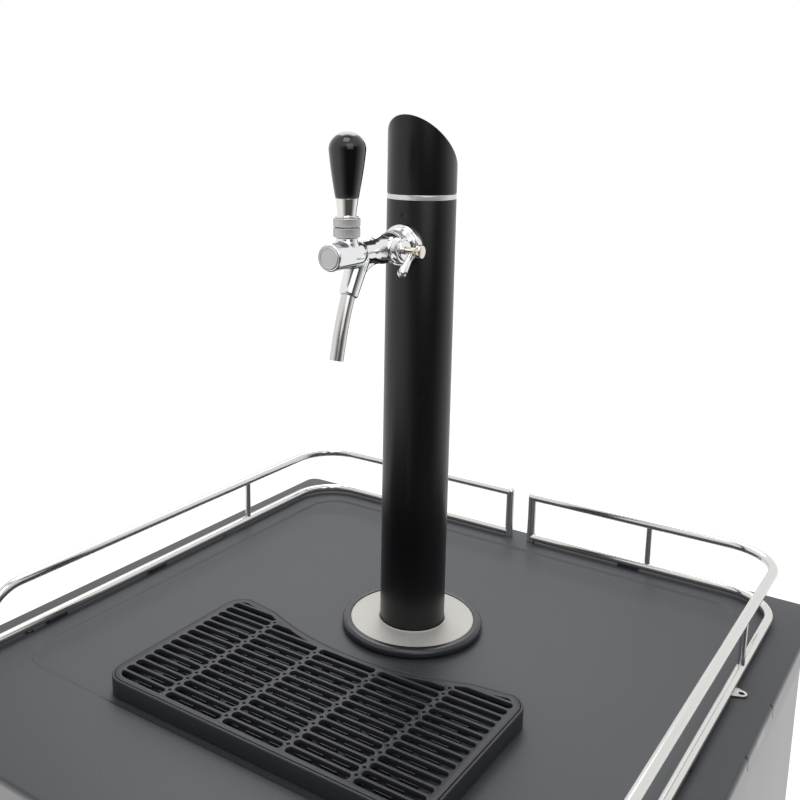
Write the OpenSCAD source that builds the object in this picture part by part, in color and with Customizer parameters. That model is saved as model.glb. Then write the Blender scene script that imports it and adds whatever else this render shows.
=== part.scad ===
// Beer dispenser: a refrigerated keg cabinet with a guard rail, a single-tap column and a drip tray.
// Millimetres, +Z up, front towards -Y. The origin is on the floor, under the middle of the
// overall box.

/* [Worktop] */
// Width of the worktop
worktop_w = 620; // [560:1:700]
// Depth of the worktop
worktop_d = 621; // [590:1:680]
// Thickness of the worktop's edge
worktop_t = 24; // [18:1:32]
// Height of the worktop's inner floor above the floor of the room
worktop_h = 850; // [800:1:900]
// Radius of the worktop's plan corners
worktop_corner_r = 14; // [9:1:30]
// Rounding of the worktop's upper edge
worktop_edge_r = 4; // [3:1:8]
// Depth of the shallow recess in the worktop
recess_depth = 2; // [1:0.5:4]
// Width of the recess
recess_w = 506; // [440:1:516]
// Corner radius of the recess
recess_r = 34; // [10:1:60]
// From the column's axis back to the recess's rear edge
recess_back = 212; // [190:1:216]
// From the column's axis forward to the recess's front edge
recess_front = 255; // [240:1:280]
// From the column's axis back to the worktop's rear edge
column_to_back = 256; // [250:1:270]

/* [Guard rail] */
// Diameter of the rail's tube
rail_d = 9; // [7:0.5:12]
// Diameter of the thin posts
post_d = 6; // [4:0.5:8]
// Distance of the side tubes from the centre line
rail_x = 276; // [268:1:282]
// Distance of the rear tubes behind the column's axis
rail_y = 234.4; // [228:0.1:240]
// Height of the upper tube's axis above the worktop's recess
rail_top_z = 55; // [45:1:75]
// Height of the lower tube's axis above the worktop's recess
rail_low_z = 8; // [8:0.5:14]
// Radius of the rail's rear corners
rail_corner_r = 50; // [35:1:70]
// From the column's axis forward to the start of the rail's front bend
rail_front = 227; // [200:1:240]
// Radius of the rail's front bend
rail_bend_r = 42; // [20:1:50]
// Half of the gap between the two rails at the back
rail_gap = 13.5; // [10:0.5:25]
// Place of the side posts behind the column's axis
side_post_y = 86; // [40:1:120]
// Place of the rear posts from the centre line
rear_post_x = 145.6; // [90:0.1:170]
// Place of the tie lugs behind the column's axis
lug_y = 54; // [20:1:75]
// Hole in the tie lugs
lug_hole_d = 5; // [4:0.5:6]
// Depth of the rail's pegs in the worktop
peg_len = 14; // [10:1:16]

/* [Column] */
// Outer diameter of the column
column_d = 60; // [54:1:70]
// Wall of the column
column_wall = 2; // [1.5:0.1:3]
// Height of the column's tube
column_h = 398.5; // [380:0.5:440]
// Height of the bright ring on the column
ring_h = 4.5; // [3:0.5:8]
// Height of the cap at its front
cap_h = 66.5; // [64:0.5:90]
// Slope of the cap's cut
cap_angle = 43.5; // [30:0.5:46]
// Depth of the spigot of the cap in the column
cap_spigot = 16; // [10:1:20]
// Radius of the stainless base cover
cover_r = 57; // [52:1:60]
// Height of the base cover's upper face
cover_h = 9; // [8:0.5:12]
// Thickness of the base cover
cover_t = 1.5; // [1:0.5:2]
// Outer radius of the rubber ring under the cover
gasket_r = 65.4; // [63:0.1:70]
// Radius of the base flange
flange_r = 50; // [47:1:51]
// Thickness of the base flange
flange_t = 4; // [3:0.5:4.5]
// Circle on which the flange's screws lie
flange_pcd = 82; // [78:1:84]
// Screw size in the flange
flange_screw_d = 5; // [4:0.5:5]
// Hole in the worktop under the column
throat_d = 44; // [30:1:50]

/* [Tap] */
// Height of the tap's axis above the worktop's recess
tap_z = 360; // [330:1:370]
// Distance of the lever's axis from the column's axis
lever_y = 112; // [108:1:116]
// Radius of the tap's front barrel
barrel_r = 11; // [10.5:0.1:12]
// Radius of the tap's neck
neck_r = 9.5; // [9:0.1:10]
// Distance of the barrel's front face from the column's axis
barrel_front = 136; // [132:1:142]
// Bore of the barrel
barrel_bore = 7; // [6.5:0.1:7.5]
// Radius of the knurled collars
collar_r = 10.6; // [10.2:0.1:11.4]
// Height of the collars' joint above the tap's axis, at the rim
collar_joint = 21.5; // [20:0.5:23]
// Height of the upper collar's top above the tap's axis
collar_top = 29; // [27:0.5:32]
// Height of the handle's ferrule
ferrule_h = 15; // [12:0.5:20]
// Radius of the ferrule at its foot
ferrule_low_r = 7.2; // [6:0.1:8]
// Radius of the ferrule at its top
ferrule_top_r = 9; // [8:0.1:10]
// Height of the black handle
handle_h = 50; // [48:1:80]
// Largest radius of the handle
handle_r = 14.5; // [12:0.1:18]
// Outer diameter of the spout
spout_d = 11.3; // [10:0.1:12]
// Bore of the spout
spout_bore = 9.3; // [7:0.1:9.4]
// Lean of the spout where it leaves the tap, from the vertical
spout_lean = 27; // [20:1:30]
// Angle through which the spout bends down
spout_bend = 13; // [5:1:18]
// Radius of the spout's bend
spout_bend_r = 204; // [190:1:240]
// Straight end of the spout
spout_end = 16; // [12:1:24]
// Radius of the flange against the column
saddle_r = 17.5; // [15.5:0.1:19]
// Distance of the flow control's axis from the column's axis
flow_y = 60; // [58:1:63]
// Radius of the flow control's bonnet
flow_r = 10.5; // [8.5:0.1:11]
// Reach of the flow control's bonnet from the tap's axis
flow_reach = 22; // [20:0.5:26]
// Radius of the flow control's spindle
spindle_r = 3; // [2.6:0.1:3.4]
// Reach of the spindle's head from the tap's axis
spindle_reach = 38; // [35:0.5:42]
// Length of the flow lever
flow_lever_len = 26; // [20:1:30]
// Lean of the flow lever towards the front at rest
flow_lever_lean = 45; // [30:1:60]
// Outer diameter of the shank
shank_d = 16; // [14:0.5:17]
// Bore of the shank
shank_bore = 8; // [7:0.5:9]
// Outer diameter of the beer line
line_d = 9.5; // [8:0.1:10]
// Bore of the beer line
line_bore = 6.4; // [6.2:0.1:6.8]

/* [Drip tray] */
// Width of the tray
tray_w = 305; // [280:1:330]
// Place of the tray to the right of the centre line
tray_shift = 3.5; // [-20:0.5:20]
// Distance of the tray's front edge from the column's axis
tray_front = 245.5; // [242:0.5:250]
// Distance of the tray's rear lobes from the column's axis
tray_back = 74; // [70:1:76]
// Distance of the middle of the curved rear edge from the column's axis
tray_notch = 101.2; // [94:0.1:103]
// Half width of the curved rear edge
tray_notch_half = 114; // [100:1:118]
// Height of the tray with its grille
tray_h = 16; // [14:1:24]
// Corner radius of the tray
tray_r = 20; // [10:1:24]
// Wall of the tray's pan
tray_wall = 2.4; // [1.6:0.1:3]
// Thickness of the grille
grille_t = 4; // [3:0.5:5]
// Width of the grille's rim
grille_rim = 6; // [5:0.5:9]
// Distance from slot to slot
slot_pitch = 10.2; // [9:0.1:14]
// Width of a slot
slot_w = 6.5; // [5:0.1:7]
// Distance from column of slots to column of slots
slot_column = 60.4; // [52:0.1:62]
// Width of the ribs between the columns of slots
rib_w = 4; // [3:0.5:5]
// Small drain holes in the ribs
rib_hole_d = 2.6; // [1.6:0.1:2.8]

/* [Cabinet] */
// Width of the cabinet
cabinet_w = 600; // [540:1:616]
// Underside of the cabinet above the floor
cabinet_bottom = 75; // [72:1:90]
// Set back of the cabinet's rear under the worktop
cabinet_rear_gap = 12; // [10:1:30]
// Thickness of the sheet panels
panel_t = 1.2; // [0.8:0.1:2]
// Thickness of the foam
foam_t = 42; // [30:1:50]
// Glued joint between the foam slabs
foam_joint = 0.1; // [0.05:0.05:0.5]
// Thickness of the inner liner
liner_t = 2; // [1.5:0.5:4]
// Depth of the compressor's bay
bay_d = 132; // [128:1:150]
// Height of the compressor's bay
bay_h = 190; // [185:1:220]
// Height of the control fascia above the door
fascia_h = 50; // [44:1:70]
// Thickness of the door
door_t = 48; // [40:1:60]
// Set back of the door's face behind the worktop's front edge
door_set = 10; // [3:1:12]
// Thickness of the door's seal
seal_t = 10; // [8:1:14]
// Distance of the handle's bar in front of the worktop's edge
handle_reach = 34; // [30:1:50]
// Diameter of the door handle's bar
pull_d = 14; // [12:1:18]
// Length of the door handle's bar
pull_len = 320; // [200:10:500]
// Radius of the door's hinge pins
hinge_pin_r = 4; // [3:0.5:5]
// Distance of the hinge axis from the cabinet's side
hinge_in = 9; // [8:1:12]
// Radius of the control buttons
button_r = 6; // [4:0.5:8]
// Side of the fan's frame
fan_size = 92; // [80:1:120]
// Depth of the fan's frame
fan_depth = 25; // [20:1:30]
// Radius of the compressor's shell
compressor_r = 56; // [50:1:60]
// Height of the compressor
compressor_h = 160; // [140:1:175]
// Radius of the gas line's inlet
gas_r = 8; // [6:0.5:10]

/* [Castors] */
// Diameter of the castors' wheels
wheel_d = 50; // [44:1:56]
// Width of the castors' wheels
wheel_w = 20; // [16:1:24]
// Distance of the castors from the cabinet's sides
castor_in = 48; // [46:1:70]
// Trail of the swivelling castors
castor_trail = 20; // [14:1:26]
// Radius of the wheels' axles
axle_r = 4; // [3:0.5:5]

/* [Clearances] */
// Clearance round a turning shaft
run_gap = 0.05; // [0.02:0.01:0.1]
// Clearance between pieces that move past each other
move_gap = 0.5; // [0.3:0.1:1]
// Clearance at a seat between curved faces
seat_gap = 0.1; // [0.05:0.05:0.3]

/* [Hidden] */
$fn = 64;
eps = 0.01;

// Frame: the overall depth runs from the door handle to the worktop's rear edge
total_d = worktop_d + handle_reach;
back_y = total_d / 2;
front_y = back_y - worktop_d;
column_y = back_y - column_to_back;
margin_z = worktop_h + recess_depth;
under_z = margin_z - worktop_t;

// Rail
rail_r = rail_d / 2;
rail_half = (rail_top_z - rail_low_z) / 2;
bend_r = min(rail_bend_r, 2 * rail_half - 1);
pad_w = 21;
pad_d = 8;
peg_d = rail_d - 3;
peg_ring_w = 1.5;
lug_t = 1.5;
lug_reach = 9;
lug_half = 9;
lug_eye_w = 2;
lug_z = recess_depth + 0.5;
pad_lines = [126, -60, -190];

// Column
column_r = column_d / 2;
column_in = column_r - column_wall;
cap_z = column_h + ring_h;
cap_top_z = cap_z + cap_h;
cap_screw_z = tap_z + 26;
cap_screw_r = 2.2;
cap_socket_r = 0.9;
gasket_in = flange_r + 1.5;
gasket_edge_r = 3;
cover_z = cover_h - cover_t;
screw_head_h = 2.5;
screw_len = 16;
foam_in_r = line_d / 2 + 1;
foam_low_z = flange_t;
foam_top_z = tap_z - 44;
ceiling_z = under_z - foam_t - liner_t;

// Tap, in the column's frame with the outlet towards -Y
tap_line_z = tap_z + 1;
neck_back = flow_y - flow_r - 0.5;
neck_front = 96;
coupling_len = 8;
saddle_front = neck_back - coupling_len;
coupling_front = neck_back;
coupling_r = 13.5;
nut_r = 13;
nut_t = 8;
nut_y = -sqrt(pow(column_in, 2) - pow(nut_r, 2)) + seat_gap;
elbow_r = 5.5;
elbow_bend = 8;
elbow_bore = 5;
barb_len = 14;
bend_y = nut_y + nut_t + elbow_bend + 2;
line_top_z = tap_line_z - elbow_bend - 3;
plug_t = 5;
plug_r = barrel_r - 1.8;
boss_r = 8.5;
boss_top = 14;
dome_r = sqrt(pow(collar_joint, 2) + pow(collar_r, 2));
pivot_r = 2;
ball_r = 4.2;
stem_r = 2.3;
finger_r = 1.4;
finger_len = 5;
lever_max = 18;
shuttle_r = 5.6;
shuttle_front = lever_y - pivot_r - move_gap;
shuttle_len = 22;
socket_top_r = 9.4;
socket_low_r = 7.6;
socket_len = 37;
socket_y = -93;
spout_top = 26;
curve_gap = 0.35;
web_t = 5;
cone_r = 4.6;
cone_len = 12;
cone_y = flow_y + 6;
crank_r = 1.8;
crank_pin_r = 0.9;
boss_reach = 13;
spindle_in = boss_reach;
head_r = 5.6;
head_t = 5;
lever_x = 28.5;
lever_root_r = 2.1;
lever_tip_r = 3.8;
lever_hole_r = 1.2;

// Tray
tray_sag = tray_notch - tray_back;
tray_arc_r = (pow(tray_notch_half, 2) + pow(tray_sag, 2)) / (2 * tray_sag);
tray_floor = 2.4;
ledge_w = 2.2;
slot_rows = ceil((tray_front - tray_back) / slot_pitch);
slot_len = slot_column - rib_w;
grille_gap = 0.4;

// Cabinet
cab_back = back_y - cabinet_rear_gap;
door_front = front_y + door_set;
door_back = door_front + door_t;
cab_front = door_back + seal_t;
foam_x = cabinet_w / 2 - panel_t;
foam_back = cab_back - panel_t;
foam_bottom = cabinet_bottom + panel_t;
liner_x = foam_x - foam_t;
liner_back = foam_back - foam_t;
floor_z = foam_bottom + foam_t;
hump_y = foam_back - bay_d - foam_t;
hump_z = foam_bottom + bay_h + foam_t;
fascia_z = under_z - fascia_h;
door_gap = 4;
bracket_t = 3;
bracket_tail = 14;
bracket_w = 20;
bracket_out = 6;
bracket_front = 10;
pin_gap = 2;
pin_bite = 2;
seal_w = 14;
seal_in = 10;
door_top = fascia_z - door_gap;
door_low = cabinet_bottom + door_gap;
door_x = cabinet_w / 2 - 2;
hinge_x = cabinet_w / 2 - hinge_in;
hinge_y = door_front + 14;
pin_depth = 14;
pull_x = -door_x + 42;
pull_z = 480;
pull_y = -back_y + pull_d / 2;
pull_post_d = 10;
pull_post_in = 30;
button_x = 30;
button_travel = 1.2;
button_len = 8;
button_y = door_front;
panel_pocket = 12;
window_w = 34;
window_h = 18;
fan_x = 0;
fan_z = ceiling_z - 110;
fan_y = liner_back - liner_t - fan_depth - 12;
fan_blade_r = fan_size / 2 - 6;
fan_hub_r = 17;
fan_hub_y = 3;
fan_hub_len = fan_depth - 8;
fan_pin_r = 1.5;
fan_rib_t = 3;
fan_leg_r = 3;
fan_blades = 7;
fan_blade_w = 18;
fan_blade_tilt = 32;
plate_t = 3;
evap_w = 380;
evap_h = 300;
evap_margin = 30;
evap_pitch = 48;
groove_w = 4;
compressor_x = 120;
foot_w = 150;
foot_d = 80;
foot_t = 4;
shell_foot_r = 18;
shell_dome_r = 40;
stub_r = 4;
stub_len = 18;
stub_z = 60;
louvres = 8;
louvre_x = 20;
louvre_w = 200;
louvre_h = 6;
louvre_z = 28;
louvre_pitch = 18;
inlet_x = -180;
inlet_z = 190;
inlet_w = 48;
inlet_h = 28;
inlet_d = 20;
socket_w = 25;
socket_h = 17;
socket_d = 15;
gas_x = -200;
gas_z = 500;
connector_h = 24;
connector_r = 9;
connector_rim_w = 6;
connector_rim_t = 3;
connector_seat = 14;
socket_gap = 0.1;

// Castors
wheel_r = wheel_d / 2;
castor_x = cabinet_w / 2 - castor_in;
castor_front_y = cab_front + 40;
castor_rear_y = cab_back - 45;
fork_t = 2.5;
fork_top = cabinet_bottom - 9;
fork_gap = 1.5;
fork_in = wheel_w / 2 + fork_gap;
stem_pin_r = 6;
plate_w = 44;
castor_plate_t = 3;
race_r = 14;
race_bite = 0.5;
stem_drop = 3;
stem_bite = 2.5;
eye_w = 5;
axle_head = 3;
tread_t = 6;
dish = 2.5;

// ---------------------------------------------------------------- shared shapes

function arc_points(cx, cy, r, a0, a1, n) =
    [for (i = [0:n]) [cx + r * cos(a0 + (a1 - a0) * i / n), cy + r * sin(a0 + (a1 - a0) * i / n)]];

// Column's frame: its foot on the worktop's recess
module at_column() {
    translate([0, column_y, worktop_h]) children();
}

// Tap's frame: lever's axis and barrel's axis meet at the origin
module at_lever() {
    at_column() translate([0, -lever_y, tap_line_z]) children();
}

// A round bar along -Y in the column's frame, from y0 to y1 in front of the axis
module along_y(r, y0, y1, z = 0) {
    translate([0, -y0, z]) rotate([90, 0, 0]) cylinder(r = r, h = y1 - y0);
}

// A round bar along X
module along_x(r, x0, x1) {
    translate([x0, 0, 0]) rotate([0, 90, 0]) cylinder(r = r, h = x1 - x0);
}

// A rectangle with round corners
module round_rect(w, d, r) {
    square([w - 2 * r, d], center = true);
    square([w, d - 2 * r], center = true);
    for (x = [-1, 1]) for (y = [-1, 1]) translate([x * (w / 2 - r), y * (d / 2 - r)]) circle(r = r);
}

// A slab with round plan corners of radius rc and an upper edge rounded by re
module soft_slab(w, d, h, rc, re) {
    profile = concat([[0, 0], [rc, 0]], arc_points(rc - re, h - re, re, 0, 90, 5), [[0, h]]);
    in_w = w - 2 * rc;
    in_d = d - 2 * rc;
    translate([-in_w / 2, -in_d / 2, 0]) cube([in_w, in_d, h]);
    for (a = [0, 180]) rotate([0, 0, a]) {
        translate([in_w / 2, in_d / 2, 0]) rotate([90, 0, 0]) linear_extrude(in_d) polygon(profile);
        translate([-in_w / 2, in_d / 2, 0]) rotate([90, 0, 90]) linear_extrude(in_w) polygon(profile);
        translate([in_w / 2, in_d / 2, 0]) rotate_extrude(angle = 90) polygon(profile);
        translate([-in_w / 2, in_d / 2, 0]) rotate([0, 0, 90]) rotate_extrude(angle = 90) polygon(profile);
    }
}

// ---------------------------------------------------------------- worktop and rail

// Moulded worktop with a shallow recess, a throat for the beer line and holes for the rail
module worktop() {
    peg_hole_r = peg_d / 2 + peg_ring_w;
    color([0.16, 0.165, 0.175]) difference() {
        translate([0, (back_y + front_y) / 2, under_z])
            soft_slab(worktop_w, worktop_d, worktop_t, worktop_corner_r, worktop_edge_r);
        translate([0, column_y + (recess_back - recess_front) / 2, worktop_h])
            linear_extrude(recess_depth + 1) round_rect(recess_w, recess_back + recess_front, recess_r);
        at_column() translate([0, 0, -worktop_t - 1]) cylinder(d = throat_d, h = worktop_t + 2);
        at_column() flange_places() translate([0, 0, -screw_len])
            cylinder(d = flange_screw_d, h = screw_len + 1);
        at_column() peg_places() translate([0, 0, recess_depth - peg_len])
            cylinder(r = peg_hole_r, h = peg_len + 1);
    }
}

// Four screw places round the column's foot
module flange_places() {
    for (i = [0:3]) rotate([0, 0, 45 + 90 * i]) translate([flange_pcd / 2, 0, 0]) children();
}

// Places of the rail's pegs: beside the rear gap and at the front ends
module peg_places() {
    for (s = [-1, 1]) {
        translate([s * rail_gap, rail_y, 0]) children();
        translate([s * rail_x, -rail_front + 6, 0]) children();
    }
}

// One tube of the rail at height z, which follows the worktop's rear corner and runs on to the front
module rail_line(z, front) {
    translate([rail_x - rail_corner_r, rail_y, z]) rotate([0, -90, 0])
        cylinder(r = rail_r, h = rail_x - rail_corner_r - rail_gap);
    translate([rail_x - rail_corner_r, rail_y - rail_corner_r, z])
        rotate_extrude(angle = 90) translate([rail_corner_r, 0]) circle(r = rail_r);
    translate([rail_x, rail_y - rail_corner_r, z]) rotate([90, 0, 0])
        cylinder(r = rail_r, h = rail_y - rail_corner_r + front);
}

// Welded rail for the right side: the upper tube bends down to the lower one at the front, and
// posts, pegs and a tie lug are welded on
module rail_shape() {
    end_y = -rail_front - bend_r;
    post_foot = recess_depth + 0.3;
    peg_foot = recess_depth - peg_len + 1;
    rail_line(rail_top_z, rail_front);
    rail_line(rail_low_z, -end_y);
    translate([rail_x, -rail_front, rail_top_z - bend_r]) rotate([0, -90, 0]) rotate([0, 0, -90])
        rotate_extrude(angle = 90) translate([bend_r, 0]) circle(r = rail_r);
    translate([rail_x, end_y, rail_low_z]) cylinder(r = rail_r, h = 2 * rail_half - bend_r);
    translate([rail_x, end_y, rail_low_z]) sphere(r = rail_r);
    translate([rail_gap, rail_y, post_foot]) cylinder(r = rail_r, h = rail_top_z - post_foot);
    translate([rail_gap, rail_y, rail_top_z]) sphere(r = rail_r);
    translate([rail_x, side_post_y, rail_low_z]) cylinder(d = post_d, h = 2 * rail_half);
    translate([rear_post_x, rail_y, rail_low_z]) cylinder(d = post_d, h = 2 * rail_half);
    for (p = [[rail_gap, rail_y], [rail_x, -rail_front + 6]])
        translate([p[0], p[1], peg_foot]) cylinder(d = peg_d, h = rail_low_z - peg_foot);
    translate([rail_x, lug_y, lug_z]) difference() {
        linear_extrude(lug_t) union() {
            polygon([[0, -lug_half], [lug_reach, -lug_eye_w], [lug_reach, lug_eye_w], [0, lug_half]]);
            translate([lug_reach, 0]) circle(r = lug_hole_d / 2 + lug_eye_w);
        }
        translate([lug_reach, 0, -1]) cylinder(d = lug_hole_d, h = lug_t + 2);
    }
    translate([rail_x - rail_r / 2, lug_y - lug_half, lug_z])
        cube([rail_r / 2 + 1, 2 * lug_half, rail_low_z - lug_z]);
}

module rail_right() {
    color([0.82, 0.82, 0.8]) at_column() rail_shape();
}

module rail_left() {
    color([0.82, 0.82, 0.8]) at_column() mirror([1, 0, 0]) rail_shape();
}

// Rubber pads under the lower tubes, and rubber rings round the pegs
module rail_pads() {
    color([0.05, 0.05, 0.05]) at_column() {
        for (s = [-1, 1]) {
            translate([s * pad_lines[0], rail_y, 0]) rail_pad(pad_w, pad_d);
            for (i = [1, 2]) translate([s * rail_x, pad_lines[i], 0]) rail_pad(pad_d, pad_w);
        }
        peg_places() difference() {
            translate([0, 0, recess_depth - peg_len]) cylinder(r = peg_d / 2 + peg_ring_w, h = peg_len);
            translate([0, 0, recess_depth - peg_len + 1]) cylinder(d = peg_d, h = peg_len);
        }
    }
}

module rail_pad(w, d) {
    turn = w > d ? [0, 90, 0] : [90, 0, 0];
    difference() {
        translate([-w / 2, -d / 2, recess_depth]) cube([w, d, rail_low_z - recess_depth]);
        translate([0, 0, rail_low_z]) rotate(turn) cylinder(r = rail_r, h = max(w, d) + 2, center = true);
    }
}

// ---------------------------------------------------------------- column

// Black steel tube with holes for the shank and the cap's screw
module tower_column() {
    color([0.07, 0.07, 0.075]) at_column() difference() {
        translate([0, 0, flange_t]) cylinder(r = column_r, h = column_h - flange_t, $fn = 96);
        translate([0, 0, flange_t - 1]) cylinder(r = column_in, h = column_h, $fn = 96);
        along_y(shank_d / 2 + seat_gap, column_in - 12, column_r + 2, tap_line_z);
        translate([0, 0, cap_screw_z]) along_y(cap_screw_r + seat_gap, 0, column_r + 2);
    }
}

// Cap with an oblique top that faces the rear, and a spigot that fits the column
module tower_cap() {
    color([0.08, 0.08, 0.085]) at_column() {
        difference() {
            translate([0, 0, cap_z]) cylinder(r = column_r, h = cap_h, $fn = 96);
            translate([0, -column_r, cap_top_z]) rotate([-cap_angle, 0, 0])
                translate([-column_d, -column_d, 0]) cube([2 * column_d, 4 * column_d, 2 * column_d]);
        }
        difference() {
            translate([0, 0, column_h - cap_spigot])
                cylinder(r = column_in - seat_gap, h = cap_spigot + ring_h, $fn = 96);
            translate([0, 0, cap_screw_z]) along_y(cap_screw_r, 0, column_r + 2);
        }
    }
}

// Polished ring between the column and its cap
module cap_ring() {
    color([0.85, 0.85, 0.84]) at_column() difference() {
        translate([0, 0, column_h]) cylinder(r = column_r, h = ring_h, $fn = 96);
        translate([0, 0, column_h - 1]) cylinder(r = column_in, h = ring_h + 2, $fn = 96);
    }
}

// Small screw that holds the cap
module cap_screw() {
    color([0.2, 0.2, 0.2]) at_column() translate([0, 0, cap_screw_z]) difference() {
        along_y(cap_screw_r - seat_gap, column_in - 10, column_r - 0.6);
        along_y(cap_socket_r, column_r - 2, column_r);
    }
}

// Steel flange welded under the column
module base_flange() {
    color([0.45, 0.45, 0.46]) at_column() difference() {
        cylinder(r = flange_r, h = flange_t);
        translate([0, 0, -1]) cylinder(d = throat_d, h = flange_t + 2);
        flange_places() translate([0, 0, -1]) cylinder(d = flange_screw_d + 1, h = flange_t + 2);
    }
}

// Stainless disc that hides the flange
module base_cover() {
    color([0.72, 0.7, 0.66]) at_column() difference() {
        translate([0, 0, cover_z]) cylinder(r = cover_r, h = cover_t, $fn = 96);
        translate([0, 0, cover_z - 1]) cylinder(r = column_r + seat_gap, h = cover_t + 2, $fn = 96);
    }
}

// Rubber ring that seals the foot to the worktop and holds the disc
module base_gasket() {
    low = cover_h - gasket_edge_r;
    flat_r = gasket_r - gasket_edge_r;
    color([0.04, 0.04, 0.04]) at_column() rotate_extrude($fn = 96) difference() {
        union() {
            translate([gasket_in, 0]) square([flat_r - gasket_in, cover_h]);
            translate([gasket_in, 0]) square([gasket_r - gasket_in, low]);
            translate([flat_r, low]) circle(r = gasket_edge_r);
        }
        translate([gasket_in - 1, cover_z]) square([cover_r + seat_gap - gasket_in + 1, cover_t + 1]);
    }
}

// Four pan-head screws that hold the flange
module flange_screws() {
    color([0.7, 0.7, 0.7]) at_column() flange_places() {
        translate([0, 0, flange_t]) cylinder(d = 1.7 * flange_screw_d, h = screw_head_h);
        translate([0, 0, flange_t - screw_len + 2]) cylinder(d = flange_screw_d - 0.2, h = screw_len - 2);
    }
}

// Foam sleeve round the beer line, from the throat up to the elbow
module tower_foam() {
    throat_low = -worktop_t + recess_depth;
    color([0.85, 0.83, 0.75]) at_column() difference() {
        union() {
            translate([0, 0, foam_low_z]) cylinder(r = column_in - 1, h = foam_top_z - foam_low_z);
            translate([0, 0, throat_low]) cylinder(d = throat_d - 1, h = foam_low_z - throat_low + eps);
        }
        translate([0, bend_y, -worktop_t - 1]) cylinder(r = foam_in_r, h = foam_top_z + worktop_t + 2);
    }
}

// Beer line from the elbow straight down to the connector in the cabinet's ceiling
module beer_line() {
    low = ceiling_z - worktop_h;
    color([0.8, 0.85, 0.8, 0.6]) at_column() translate([0, bend_y, low]) difference() {
        cylinder(d = line_d, h = line_top_z - low);
        translate([0, 0, -1]) cylinder(d = line_bore, h = line_top_z - low + 2);
    }
}

// Push-in connector for the keg's line, fixed to the cabinet's ceiling
module beer_connector() {
    rim_r = connector_r + connector_rim_w;
    color([0.9, 0.9, 0.9]) translate([0, column_y + bend_y, ceiling_z - connector_h]) difference() {
        union() {
            cylinder(r = connector_r, h = connector_h);
            translate([0, 0, connector_h - connector_rim_t]) cylinder(r = rim_r, h = connector_rim_t);
        }
        translate([0, 0, -1]) cylinder(r = line_d / 2 + socket_gap, h = connector_seat + 1);
        cylinder(d = line_bore, h = connector_h + 1);
    }
}

// ---------------------------------------------------------------- shank and tap

// Threaded tube through the column's wall
module shank() {
    color([0.75, 0.74, 0.7]) at_column() translate([0, 0, tap_line_z]) difference() {
        along_y(shank_d / 2, -nut_y - nut_t - 1, neck_back);
        along_y(shank_bore / 2, -nut_y - nut_t - 2, neck_back + 1);
    }
}

// Nut inside the column
module shank_nut() {
    color([0.75, 0.74, 0.7]) at_column() translate([0, 0, tap_line_z]) difference() {
        along_y(nut_r, -nut_y - nut_t, -nut_y);
        along_y(shank_d / 2 + run_gap, -nut_y - nut_t - 1, -nut_y + 1);
        for (i = [0:5]) rotate([0, 30 + 60 * i, 0])
            translate([nut_r - 1.2, nut_y - 1, -nut_r]) cube([4, nut_t + 2, 2 * nut_r]);
    }
}

// Chromed flange that fits the round of the column
module shank_saddle() {
    lip = [[0, column_r - 8], [saddle_r, column_r - 8], [saddle_r, column_r + 4],
        [saddle_r - 1.4, column_r + 5]];
    round_edge = arc_points(coupling_r + 1, column_r + 6, saddle_r - 2 - coupling_r, 0, 90, 6);
    color([0.85, 0.85, 0.85]) at_column() difference() {
        translate([0, 0, tap_line_z]) rotate([90, 0, 0]) rotate_extrude()
            polygon(concat(lip, round_edge, [[coupling_r + 0.5, saddle_front], [0, saddle_front]]));
        cylinder(r = column_r + seat_gap, h = column_h, $fn = 96);
        translate([0, 0, tap_line_z]) along_y(shank_d / 2 + run_gap, 0, saddle_front + 1);
    }
}

// Elbow that turns the beer line down inside the column, with a stem for the line
module tail_elbow() {
    low = elbow_bend + 3;
    color([0.8, 0.8, 0.78]) at_column() translate([0, bend_y, tap_line_z]) difference() {
        union() {
            rotate([90, 0, 0]) cylinder(r = elbow_r, h = elbow_bend + 1);
            sphere(r = elbow_r);
            translate([0, 0, -low]) cylinder(r = elbow_r, h = low);
            translate([0, 0, -low - barb_len]) cylinder(r = line_bore / 2 - seat_gap, h = barb_len + 1);
        }
        rotate([90, 0, 0]) cylinder(d = elbow_bore, h = elbow_bend + 2);
        translate([0, 0, -low - barb_len - 1]) cylinder(d = elbow_bore, h = low + barb_len + 1);
    }
}

// Ring that couples the tap to its shank
module coupling_ring() {
    color([0.85, 0.85, 0.85]) at_column() translate([0, 0, tap_line_z]) difference() {
        along_y(coupling_r, saddle_front, coupling_front);
        along_y(shank_d / 2 + run_gap, saddle_front - 1, coupling_front + 1);
        for (i = [0:5]) rotate([0, 60 * i, 0])
            translate([coupling_r, -coupling_front - 1, -1.5]) cube([3, 6, 3]);
    }
}

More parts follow.
